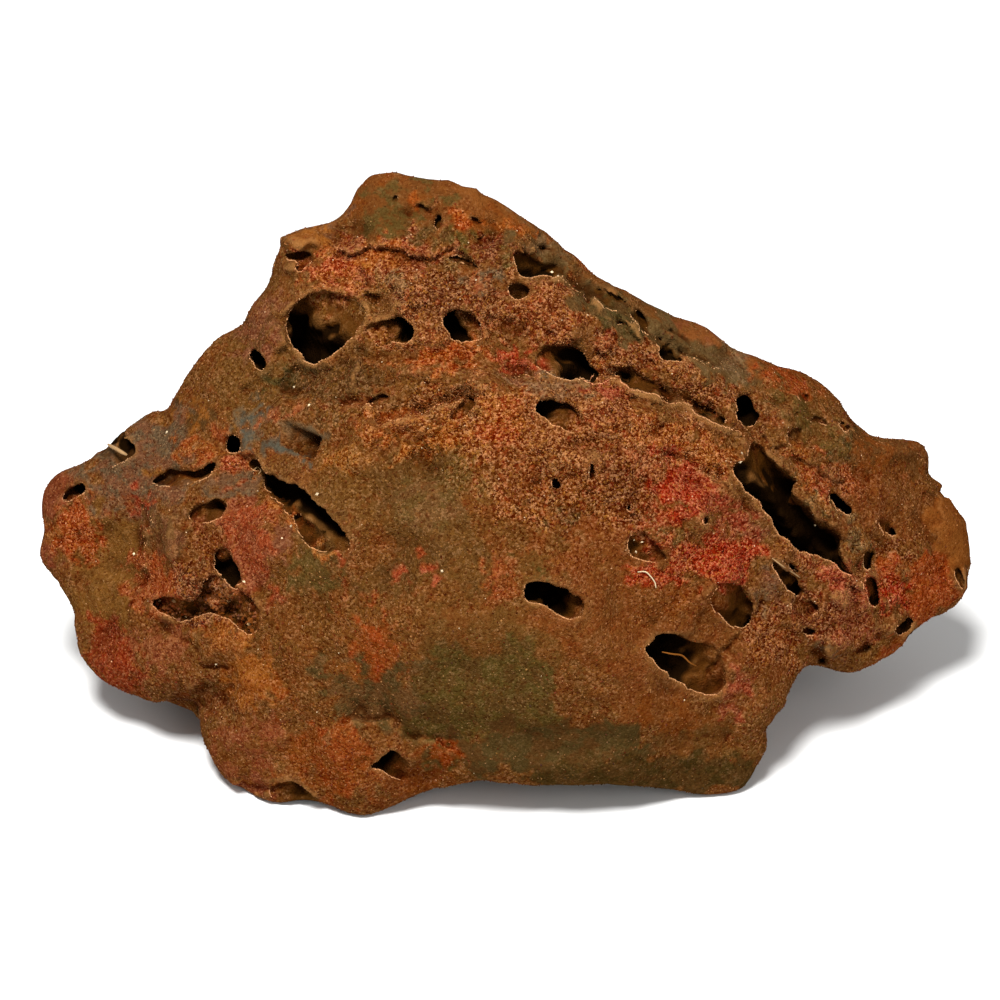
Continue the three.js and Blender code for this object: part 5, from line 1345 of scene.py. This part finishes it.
worked_stone = openvdb.FloatGrid(BAND_CELLS * CELL)
worked_stone.copyFromArray(clay, ijk=tuple(int(i) for i in first_cell))
worked_stone.transform = block_scale
skin_places, skin_faces = worked_stone.convertToQuads(0.0)
skin_faces = largest_shell(len(skin_places), skin_faces)
used, skin_faces = np.unique(skin_faces, return_inverse=True)
skin_places, skin_faces = skin_places[used], skin_faces.reshape(-1, 4)
print("raw skin", 2 * len(skin_faces), "triangles")

raw_skin = add_object("raw_skin", make_mesh("raw_skin", skin_places, skin_faces))
skin_u, _, skin_w = face_places(skin_places)
behind = front_share(skin_u, skin_w) < 0.5
spare_group = raw_skin.vertex_groups.new(name="spare")
spare_group.add(np.flatnonzero(behind).tolist(), 1.0, "REPLACE")
spare_group.add(np.flatnonzero(~behind).tolist(), FRONT_THINNING, "REPLACE")
thin = raw_skin.modifiers.new("thin", "DECIMATE")
thin.ratio = SKIN_TRIANGLES / (2 * len(skin_faces))
thin.vertex_group = spare_group.name
view_layer = bpy.context.evaluated_depsgraph_get()
thinned = bpy.data.meshes.new_from_object(raw_skin.evaluated_get(view_layer))
bpy.data.objects.remove(raw_skin)
places, faces = mesh_arrays(thinned)
print("skin", len(faces), "triangles")

rock_mesh = make_mesh("rock", places, faces)
rock = add_object("rock", rock_mesh)
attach(rock, "root")
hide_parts("termite_rock")

check = bmesh.new()
check.from_mesh(rock_mesh)
open_edges = sum(not edge.is_manifold for edge in check.edges)
volume = check.calc_volume(signed=True) / MM**3
check.free()
print("open edges", open_edges, "volume", round(volume / 1000), "cubic cm")

# %% [markdown]
# ## What the skin knows
# A material can read numbers that are stored on the corners of the mesh. The boards give each
# corner its two paints and its crust. Two more numbers come from the clay: where a blurred
# copy of it says outside, the corner stands proud, as an edge does, and where it says deep
# inside, the corner lies in a hole. A Bevel or Ambient Occlusion node could find these while
# rendering, but stored numbers are quick and leave with the mesh. The last two come from the
# mouths of the front: how deep behind an outline the corner lies, and how near a thin rim is.

# %%
# Store the numbers
EDGE_BLUR = 1.8  # cells
HOLE_BLUR = 5.0
CAVE_DEPTH = 15.0  # mm at which a mouth counts as quite dark
WALL_ROOM = 0.5  # mm outside an outline that still count as its wall
PALE_RIM = 0.7  # mm to either side of an outline


def read_block(block, places):
    """The block's value at each place, between its eight nearest cells."""
    spot = places / CELL - first_cell
    low = np.floor(spot).astype(int)
    share = spot - low
    total = np.zeros(len(places))
    for i in (0, 1):
        for j in (0, 1):
            for k in (0, 1):
                x, y, z = np.where([i, j, k], share, 1 - share).T
                total += x * y * z * block[low[:, 0] + i, low[:, 1] + j, low[:, 2] + k]
    return total


def store(mesh, name, values):
    kind, field = ("FLOAT_COLOR", "color") if values.ndim == 2 else ("FLOAT", "value")
    if values.ndim == 2:
        values = np.hstack([values, np.ones((len(values), 1))])
    attribute = mesh.attributes.new(name, kind, "POINT")
    attribute.data.foreach_set(field, values.astype(np.float32).ravel())


skin_u, skin_v, skin_w = face_places(places)
skin_points = places.astype(np.float32)
face_u, face_v = skin_u.copy(), skin_v.copy()
skin_u += WOBBLE * noise(skin_points, 5, 3)
skin_v += WOBBLE * noise(skin_points, 5, 23)
skin_front = front_share(skin_u, skin_w + 4 * noise(skin_points, 14, 8))
main_paint = both_boards(front_main, back_main, skin_u, skin_v, skin_front)
mottle_paint = both_boards(front_mottle, back_mottle, skin_u, skin_v, skin_front)
skin_crust = both_boards(front_crust, back_crust, skin_u, skin_v, skin_front)
edge = read_block(blurred(clay, EDGE_BLUR), places)
hole = -read_block(blurred(clay, HOLE_BLUR), places)
skin_depth = read_board(front_wall + front_relief, skin_u, skin_v) - skin_w
cave = np.zeros(len(places))  # how deep behind an outline each corner lies, from 0 to 1
lip = 0.6 * both_boards(front_rims, back_rims, skin_u, skin_v, skin_front)  # 1 on a thin rim
for mouth, ring in zip(front_mouths, front_rings):
    low, high = ring.min(axis=0) - MOUTH_ROOM, ring.max(axis=0) + MOUTH_ROOM
    inside = (skin_u > low[0]) & (skin_u < high[0]) & (skin_v > low[1]) & (skin_v < high[1])
    inside = np.flatnonzero(inside & (skin_depth > -4) & (skin_depth < TUBE_DEPTH))
    depth = skin_depth[inside]
    away, _ = mouth_places(mouth, ring, skin_points[inside], face_u[inside], face_v[inside], depth)
    cave[inside] = np.maximum(cave[inside], (away < WALL_ROOM) * np.clip(depth / CAVE_DEPTH, 0, 1))
    outward = np.stack([face_u[inside], face_v[inside]], axis=1) - ring.mean(axis=0)
    outward /= np.linalg.norm(outward, axis=1)[:, None] + 1e-6
    overhung = np.clip(0.3 + 3 * outward @ np.array(mouth[0]), 0.15, 1)
    thin_rim = overhung * np.exp(-((away / PALE_RIM) ** 2)) * (depth < 1.5)
    lip[inside] = np.maximum(lip[inside], thin_rim)

skin_numbers = {"main_paint": main_paint, "mottle_paint": mottle_paint, "crust": skin_crust,
                "edge": edge, "hole": hole, "cave": cave, "lip": lip}
for name, values in skin_numbers.items():
    store(rock_mesh, name, values)
    print(name, "from", values.min().round(2), "to", values.max().round(2))

# %% [markdown]
# ## A short way to write materials
# A material is a net of nodes, and a long one is hard to read as code. The class below wraps
# one output of a node, so that sums and products of such outputs can be written as plain
# Python, and each one adds the Math node that it needs. Colours go through Mix nodes.

# %%
# The class


class Wire:
    """One output of a node. Sums and products of wires add Math nodes."""

    tree = None  # the node tree that new nodes go into

    def __init__(self, socket):
        self.socket = socket

    @classmethod
    def node(cls, kind, settings=(), values=(), out=0):
        """Add a node. Its settings come first, then the values or links of its sockets."""
        node = cls.tree.nodes.new(kind)
        for name, setting in dict(settings).items():
            setattr(node, name, setting)
        for name, value in dict(values).items():
            if isinstance(value, cls):
                cls.tree.links.new(value.socket, node.inputs[name])
            else:
                node.inputs[name].default_value = value
        return cls(node.outputs[out])

    @classmethod
    def maths(cls, operation, *values):
        return cls.node("ShaderNodeMath", {"operation": operation}, enumerate(values))

    def __add__(self, other):
        return self.maths("ADD", self, other)

    def __sub__(self, other):
        return self.maths("SUBTRACT", self, other)

    def __rsub__(self, other):
        return self.maths("SUBTRACT", other, self)

    def __mul__(self, other):
        return self.maths("MULTIPLY", self, other)

    __radd__ = __add__

    def step(self, low, high):
        """Rises gently from 0 at low to 1 at high."""
        return self.node(
            "ShaderNodeMapRange",
            {"interpolation_type": "SMOOTHSTEP"},
            {"Value": self, "From Min": low, "From Max": high},
        )

    def mix(self, first, second, blend="MIX"):
        """The first colour where this wire is 0 and the second where it is 1."""
        return self.node(
            "ShaderNodeMix",
            {"data_type": "RGBA", "blend_type": blend},
            {0: self, 6: first, 7: second},
            out=2,
        )


def stored(name):
    return Wire.node("ShaderNodeAttribute", {"attribute_name": name}, out="Fac")


def stored_colour(name):
    return Wire.node("ShaderNodeAttribute", {"attribute_name": name}, out="Color")


def paint(name):
    return (*PAINTS[name], 1.0)


def new_material(name):
    """An empty material, and its Principled shader."""
    material = bpy.data.materials.new(name)
    material.use_nodes = True
    Wire.tree = material.node_tree
    return material, material.node_tree.nodes["Principled BSDF"]


def drive(shader, name, wire):
    Wire.tree.links.new(wire.socket, shader.inputs[name])


print("ready to paint")

# %% [markdown]
# ## Rusty stone
# Seen from near, laterite is sand held by rust. So every patch is a mixture: its main paint,
# broken by its mottling paint, then grains of sand of every brightness, denser where there is
# crust, with a painted glint on the bright grains and painted shade in the gaps between them.
# Proud edges are worn a little paler and carry a painted highlight, hollows, creases and holes
# get painted shade, brown and then black deep behind the mouths, and a few grains of quartz are
# nearly white. All sizes are in millimetres, because the wires start from the object's own
# coordinates times 1000.

# %%
# The stone's material
PAINT_SHARE = (0.5, 0.495, 0.41)  # the lamps whiten the floor, so the paints are thinned
GRAIN_AND_SHADE_TINT = (0.4, 0.16, 0.03, 1)  # painted shade that a gap between grains, a hollow and a crease leave of the paint round them; it also darkens the dark grains
CRUST_TINT = (0.98, 0.86, 0.72, 1)  # bare rust between pale grains is richer
stone_material, stone_shader = new_material("rusty_stone")
at = Wire.node("ShaderNodeTexCoord", out="Object")
at_mm = Wire.node("ShaderNodeVectorMath", {"operation": "SCALE"}, {0: at, "Scale": 1000.0})


def noise_wire(size, detail=2.0, rough=0.6):
    values = {"Vector": at_mm, "Scale": 1 / size, "Detail": detail, "Roughness": rough}
    return Wire.node("ShaderNodeTexNoise", {"noise_dimensions": "3D"}, values)


def sand_wires(size):
    """Grains of one size: the way to the nearest grain, and two numbers of that grain's own."""
    voronoi = Wire.node("ShaderNodeTexVoronoi", (), {"Vector": at_mm, "Scale": 1 / size})
    colour = Wire(voronoi.socket.node.outputs["Color"])
    parts = Wire.node("ShaderNodeSeparateColor", (), {"Color": colour})
    return voronoi, parts, Wire(parts.socket.node.outputs[1])


def thinned_paint(colour):
    return Wire.node("ShaderNodeVectorMath", {"operation": "MULTIPLY"}, {0: colour, 1: PAINT_SHARE})


crust_wire = stored("crust")
edge_wire = stored("edge")
hole_wire = stored("hole")
mottled = noise_wire(5.0, 4.0, 0.6).step(0.44, 0.56)
stone_paint = (mottled * 0.7).mix(stored_colour("main_paint"), stored_colour("mottle_paint"))

# sand, coarse and fine, each grain with a brightness of its own, with a painted glint on the bright ones
# and painted shade in the dark gaps
coarse_place, coarse_own, coarse_hue = sand_wires(1.15)
sand_place, sand_own, sand_hue = sand_wires(0.52)
fine = noise_wire(0.4, 2.0, 0.75)
patchy = noise_wire(6.0, 4.0, 0.6)
grainy = 0.18 + crust_wire * 0.82
spread = (sand_own - 0.5) * 2.0 + (coarse_own - 0.5) * 0.4 + (fine - 0.5) * 3.0
sparkle = grainy * spread + (patchy - 0.5) * 0.35
stone_paint = crust_wire.mix(stone_paint, CRUST_TINT, "MULTIPLY")
# painted shade in the gaps between grains, then a painted glint on the bright grains
stone_paint = (0 - sparkle).step(-0.1, 0.65).mix(stone_paint, GRAIN_AND_SHADE_TINT, "MULTIPLY")
stone_paint = sparkle.step(0.05, 1.0).mix(stone_paint, paint("glint"), "ADD")

# gold and red grains in the crust
golden = (sand_hue.step(0.84, 0.9) * crust_wire) * 0.4
stone_paint = golden.mix(stone_paint, paint("gold_grain"))
rosy = (coarse_hue.step(0.86, 0.9) * crust_wire) * 0.25
stone_paint = rosy.mix(stone_paint, paint("red_grain"))

# painted shade in hollows and creases, a painted highlight on proud places, worn and lit edges, and
# painted shade in holes and mouths
stone_paint = (hole_wire.step(0.0, 1.2) * 0.2).mix(stone_paint, GRAIN_AND_SHADE_TINT, "MULTIPLY")
# painted highlight: proud places get a little glint
stone_paint = ((0 - hole_wire).step(0.1, 1.6) * 0.03).mix(stone_paint, paint("glint"), "ADD")
# painted shade in creases
crevice_shade = (0 - edge_wire).step(0.1, 0.7) * 0.7
stone_paint = crevice_shade.mix(stone_paint, GRAIN_AND_SHADE_TINT, "MULTIPLY")
# proud edges turn pale: partly wear, partly a painted highlight
wear_and_highlight = edge_wire.step(0.3, 1.1) * (0.25 + fine * 0.7)
stone_paint = wear_and_highlight.mix(stone_paint, paint("worn_and_lit_lip"))
# painted shade: deep in hollows the paint turns dark brown
hollow_shade = hole_wire.step(0.5, 2.2) * 0.6
stone_paint = hollow_shade.mix(stone_paint, paint("hole_shade_brown"))
# painted shade in the mouths: brown, then black, with depth behind the outline
cave_wire = stored("cave")
stone_paint = (cave_wire.step(0.1, 0.3) * 0.7).mix(stone_paint, paint("gallery_shade_brown"))
stone_paint = cave_wire.step(0.3, 0.52).mix(stone_paint, paint("gallery_shade_black"))
# thin rims turn pale: partly wear, partly a painted highlight
rim = stored("lip").step(0.3, 0.9) * (0.1 + fine * 0.7)
stone_paint = rim.mix(stone_paint, paint("worn_and_lit_lip"))
drive(stone_shader, "Base Color", thinned_paint(stone_paint))

# the same grains as bumps
grain_height = (0.6 - sand_place) * (0.35 + crust_wire * 0.9) * 0.3
coarse_height = (0.7 - coarse_place) * crust_wire * 0.25
height = grain_height + coarse_height + noise_wire(1.6, 3.0, 0.6) * 0.35 + fine * 0.3
bump_values = {"Height": height, "Distance": MM, "Strength": 1.0}
drive(stone_shader, "Normal", Wire.node("ShaderNodeBump", (), bump_values))
drive(stone_shader, "Roughness", 0.62 + sand_own * 0.3)
stone_shader.inputs["Specular IOR Level"].default_value = 0.0
rock_mesh.materials.append(stone_material)

# %% [markdown]
# ## Loose grains
# The crust sparkles because whole grains of sand stick out of it. A bump map can't catch the
# light as a grain does, nor stand proud of a rim, so the largest grains are real: small
# stretched crystals with eight faces, half sunk. They are scattered over the triangles of the
# skin, more where there is crust, and each carries a paint of its own: the stone's paint, with a
# painted glint added on the lighter grains.

# %%
# Scatter the grains
CRYSTAL = np.array([(1, 0, 0), (-1, 0, 0), (0, 1, 0), (0, -1, 0), (0, 0, 1), (0, 0, -1)], float)
CRYSTAL_FACES = np.array([(0, 2, 4), (2, 1, 4), (1, 3, 4), (3, 0, 4),
                          (2, 0, 5), (1, 2, 5), (3, 1, 5), (0, 3, 5)])
edges_out = places[faces[:, 1]] - places[faces[:, 0]], places[faces[:, 2]] - places[faces[:, 0]]
face_normals = np.cross(*edges_out)
face_areas = np.linalg.norm(face_normals, axis=1) / 2
face_normals /= 2 * face_areas[:, None] + 1e-9
grain_material, grain_shader = new_material("loose_grains")


def of_faces(values):
    return values[faces].mean(axis=1)


def add_grains(name, centres, out, sizes, paints, chance):
    """One crystal at each centre, with random half sizes in mm."""
    count = len(centres)
    side = np.cross(out, chance.standard_normal((count, 3)))
    side /= np.linalg.norm(side, axis=1)[:, None] + 1e-9
    axes = np.stack([side, np.cross(out, side), out], axis=1)
    half = chance.uniform(*sizes, (count, 1)) * chance.uniform(0.6, 1.25, (count, 3))
    crystals = np.einsum("ck,nk,nkx->ncx", CRYSTAL, half, axes) + centres[:, None]
    crystal_faces = CRYSTAL_FACES + 6 * np.arange(count)[:, None, None]
    mesh = make_mesh(name, crystals.reshape(-1, 3), crystal_faces.reshape(-1, 3))
    mesh.polygons.foreach_set("use_smooth", np.zeros(len(mesh.polygons), dtype=bool))
    store(mesh, "grain_paint", np.repeat(paints, 6, axis=0))
    mesh.materials.append(grain_material)
    grains = add_object(name, mesh)
    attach(grains, "root")
    print(name, count)


def scatter_grains(name, count, likely, sizes, tints, seed):
    """Grains anywhere on the skin, more where a face is more likely."""
    chance = np.random.default_rng(seed)
    likely = face_areas * likely
    chosen = chance.choice(len(faces), count, p=likely / likely.sum())
    shares = chance.dirichlet((1, 1, 1), count)
    centres = (places[faces[chosen]] * shares[..., None]).sum(axis=1)
    add_grains(name, centres, face_normals[chosen], sizes, tints(chance, chosen), chance)


def local_tints(glints, towards, share):
    """The stone's own paint, made lighter with painted glint where the glint is above zero and darker
    with the grain-and-shade tint where it is below, and partly changed to another.
    """
    def tints(chance, chosen):
        glint = chance.uniform(*glints, (len(chosen), 1))
        darker, lighter = np.maximum(-glint, 0), np.maximum(glint, 0)
        own = main_paint[faces[chosen, 0]] * np.array(GRAIN_AND_SHADE_TINT[:3]) ** darker + PAINTS["glint"] * lighter
        changed = chance.random((len(chosen), 1)) ** 2 * share
        return own * (1 - changed) + PAINTS[towards] * changed
    return tints


GROUND_GAP = 0.6  # mm above the ground that stay free of grains
BARE_CAVE = 0.08  # from this depth on a mouth has no grains
open_face = of_faces(cave) < BARE_CAVE
above_ground = places[faces].min(axis=1)[:, 2] > GROUND_GAP
free = open_face & above_ground
seen_face = 0.25 + 0.75 * of_faces(skin_front)
face_crust = of_faces(skin_crust)
crusty = free * seen_face * (0.02 + face_crust**1.5)
scatter_grains("gold_grit", 14000, crusty, (0.14, 0.3), local_tints((-0.2, 0.7), "gold_grain", 0.35), 1)
scatter_grains("dark_grit", 16000, crusty, (0.16, 0.34), local_tints((-1, 0.2), "red_grain", 0.2), 2)
even = free * seen_face * (0.015 + face_crust)
scatter_grains("sand", 12000, even, (0.1, 0.22), local_tints((-0.7, 0.7), "gold_grain", 0.4), 3)
scatter_grains("quartz_grains", 500, crusty, (0.1, 0.26), local_tints((1, 2), "quartz", 1.0), 5)

# %% [markdown]
# ## Pale rims
# Where a crust was bitten through, its edge is worn and dusty, and shows as a thin pale line; this is
# partly wear and partly a painted highlight, strongest on rims that face the sky.
# The line is finer than the triangles of the skin, so it can't be painted on them. It is a
# row of small pale grains, set just where the stone drops off: for each place along the edge,
# rays from the eye's side look for the last one that still meets the upper crust.

# %%
# Set grains along the rims
RIM_STEP = 0.22  # mm between two grains of a row
RIM_DROP = 0.7  # mm that the stone must fall off by, to end a rim
RIM_SEARCH = np.arange(1.3, -1.3, -0.13)  # mm outside the line, from far to near
RIM_LIGHT = np.array([-0.5, -0.87])  # rims on this side of a hole face the sky and get more pale grains, a painted highlight
skin_tree = BVHTree.FromPolygons(places.tolist(), faces.tolist())


def meet_skin(u, v):
    """Where the skin is met behind one place of the picture: place, normal and triangle."""
    towards = (Vector(place(u, v, 0)) - eye).normalized()
    return skin_tree.ray_cast(eye, towards)[:3]


def along_line(line, closed):
    """Evenly spaced places on a line, with the direction to its left at each."""
    line = np.array(line, float)
    ends = np.roll(line, -1, axis=0) if closed else line[1:]
    spots = []
    for start, end in zip(line, ends):
        run = end - start
        length = np.linalg.norm(run) + 1e-9
        left = np.array([-run[1], run[0]]) / length
        spots += [(start + run * share, left) for share in np.arange(0, 1, RIM_STEP / length)]
    return spots


def rim_grain(spot, outward):
    """The last place on the upper crust, coming from outside towards the drop."""
    last = None
    for offset in RIM_SEARCH:
        found, normal, triangle = meet_skin(*(spot + outward * offset))
        if found is None:
            return None
        out = (np.array(found) - FACE_ZERO) @ OUT
        if last and out < last[0] - RIM_DROP:
            return last
        last = (out, found, normal, triangle)
    return None


edges = []  # places, the direction away from the drop, and how pale
for ring in front_rings:
    mean = ring.mean(axis=0)
    turn_left = 1 if np.cross(ring[1] - ring[0], mean - ring[0]) < 0 else -1
    for spot, left in along_line(ring, True):
        outward = left * turn_left
        edges.append((spot, outward, np.clip(0.25 + outward @ RIM_LIGHT, 0, 1)))
for depth, _, _, line in front_ledges:
    edges += [(spot, -left, min(1, depth / 2)) for spot, left in along_line(line, False)]
chance = np.random.default_rng(8)
found_rims = [(rim_grain(spot, outward), pale) for spot, outward, pale in edges]
kept = [found for found, pale in found_rims if found and chance.random() < pale]
_, rim_places, rim_normals, rim_triangles = (np.array(column) for column in zip(*kept))
# painted highlight: the rim grains are the stone's paint made much lighter with glint, then mostly pale
# lip paint
rim_tints = local_tints((1.2, 2.4), "worn_and_lit_lip", 0.8)(chance, rim_triangles)
add_grains("rim_grains", rim_places, rim_normals, (0.16, 0.26), rim_tints, chance)

# %% [markdown]
# ## White grains, rubble and roots
# A few grains of quartz are as white as sugar and large enough to be placed one by one. The
# broken cavity in the left flank is full of loose crumbs. Dry rootlets and a blade of grass
# are caught in some galleries. Each is a thin tube through a few places.

# %%
# Place the white grains and the rubble
white_spots = [
    (-51.5, 28.25), (78.75, -6.25), (-60.5, 2.25), (-52.25, -6.5), (-14.5, -17.75), (-45.75, 1.5),
    (-47.75, 23.75), (-83.25, 17), (-54.5, -9.5), (13, 57), (60.5, 11.75), (60, 9.5), (33.5, -10),
    (35.5, -10.5), (34, -13), (14.5, 56), (-64, -20.5), (-91.5, -13.5), (-71, -41), (-6, 55),
]
RUBBLE_LOW, RUBBLE_HIGH = (-86, -33), (-61, -21)  # two corners of the broken cavity
CRUMBS = 420
PALE_EVERY = 40  # one crumb in so many is pale


def hits_at(spots):
    """Places, normals and triangles of the skin behind places of the picture."""
    hits = [meet_skin(u, v) for u, v in spots]
    hits = [hit for hit in hits if hit[0]]
    found, normals, hit_triangles = zip(*hits)
    return np.array(found), np.array(normals), np.array(hit_triangles)


chance = np.random.default_rng(12)
spots, normals, _ = hits_at(white_spots)
whites = PAINTS["quartz"] * chance.uniform(0.7, 1.6, (len(spots), 1))
add_grains("white_grains", spots, normals, (0.35, 0.55), whites, chance)

spots, normals, spot_triangles = hits_at(chance.uniform(RUBBLE_LOW, RUBBLE_HIGH, (CRUMBS, 2)))
in_cavity = cave[faces[spot_triangles, 0]] > 0.04
spots, normals, spot_triangles = spots[in_cavity], normals[in_cavity], spot_triangles[in_cavity]
crumb_tints = local_tints((-0.7, 0.4), "rust_ochre", 1.0)(chance, spot_triangles)
crumb_tints[::PALE_EVERY] = PAINTS["pale"]
add_grains("rubble", spots, normals, (0.3, 0.95), crumb_tints, chance)

# %%
# Lay the rootlets
ROOT_SIDES = 6
ROOT_STEPS = 6  # steps of the curve between two places
# (name, radius in mm, paint, places as u, v and height above the mended front). Where the stone
# stands higher than that, the rootlet lies on it.
rootlets = [
    ("root_in_hollow", 0.22, "ochre", [(40.5, -38, -5), (43, -38.5, -4), (45.5, -38.9, -3.5),
                                       (47.5, -40.7, -3.5), (49.3, -41.6, -4)]),
    ("blade_of_grass", 0.5, "pale", [(-98, 13.9, -1.5), (-97, 13.3, -0.8), (-95.8, 12.7, -0.4),
                                     (-94.5, 11.9, -0.6), (-93.2, 11.2, -1.5)]),
    ("white_rootlet", 0.17, "quartz", [(34.4, -18, -9), (36, -17.9, -9), (37, -18.4, -9),
                                       (38.6, -20.4, -9), (39, -22, -9)]),
    ("web_in_pocket", 0.2, "pale", [(68, -14.5, -0.6), (70.5, -16.4, -0.8), (73, -18, -0.8),
                                    (75, -19.4, -0.6)]),
    ("curled_rootlet", 0.2, "pale", [(-61.8, 7.2, -9), (-60.6, 8.2, -9), (-59.8, 7.4, -9),
                                     (-60.4, 6.4, -9)]),
]


def smooth_line(points):
    """A curve through the points (Catmull and Rom's)."""
    points = np.array(points)
    ends = np.vstack([2 * points[0] - points[1], points, 2 * points[-1] - points[-2]])
    curve = []
    for a, b, c, d in zip(ends, ends[1:], ends[2:], ends[3:]):
        for t in np.arange(ROOT_STEPS) / ROOT_STEPS:
            bend = 2 * a - 5 * b + 4 * c - d + t * (3 * (b - c) + d - a)
            curve.append(b + 0.5 * t * (c - a + t * bend))
    return np.array(curve + [points[-1]])


def make_tube(name, line, radius):
    """A thin tube along a line, closed at both ends."""
    ahead = np.gradient(line, axis=0)
    side = np.cross(ahead, OUT)
    side /= np.linalg.norm(side, axis=1)[:, None]
    above = np.cross(side, ahead)
    above /= np.linalg.norm(above, axis=1)[:, None]
    narrowing = radius * (1.0 - 0.5 * np.linspace(-1, 1, len(line)) ** 4)[:, None]
    turns = 2 * math.pi * np.arange(ROOT_SIDES) / ROOT_SIDES
    rings = [line + narrowing * (math.cos(turn) * side + math.sin(turn) * above) for turn in turns]
    tube_places = np.stack(rings, axis=1).reshape(-1, 3)
    tube_faces = []
    for i in range(len(line) - 1):
        for j in range(ROOT_SIDES):
            low, high = i * ROOT_SIDES + j, i * ROOT_SIDES + (j + 1) % ROOT_SIDES
            tube_faces += [(low, high, high + ROOT_SIDES), (low, high + ROOT_SIDES, low + ROOT_SIDES)]
    last = len(tube_places) - ROOT_SIDES
    for j in range(1, ROOT_SIDES - 1):
        tube_faces += [(0, j + 1, j), (last, last + j, last + j + 1)]
    return make_mesh(name, tube_places, np.array(tube_faces))


relief_wall = front_wall + front_relief
for name, radius, paint_name, stations in rootlets:
    laid = []
    for u, v, above in stations:
        met = meet_skin(u, v)[0]
        on_stone = (np.array(met) - FACE_ZERO) @ OUT + radius if met else -math.inf
        in_air = read_board(relief_wall, np.array([u]), np.array([v]))[0] + above
        laid.append(place(u, v, max(on_stone, in_air)))
    mesh = make_tube(name, smooth_line(laid), radius)
    store(mesh, "grain_paint", np.repeat(PAINTS[paint_name][None], len(mesh.vertices), axis=0))
    mesh.materials.append(grain_material)
    root = add_object(name, mesh)
    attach(root, "root")
print(len(rootlets), "rootlets")

# %%
# Paint the grains
drive(grain_shader, "Base Color", thinned_paint(stored_colour("grain_paint")))
grain_shader.inputs["Roughness"].default_value = 0.5
grain_shader.inputs["Specular IOR Level"].default_value = 0.05

# %% [markdown]
# ## Pale floor
# The floor only has to catch a soft shadow, so it is one plain matt colour.

# %%
# The floor's material
floor_material, floor_shader = new_material("pale_floor")
floor_shader.inputs["Base Color"].default_value = (0.75, 0.75, 0.74, 1)
floor_shader.inputs["Roughness"].default_value = 0.9
floor_mesh.materials.append(floor_material)
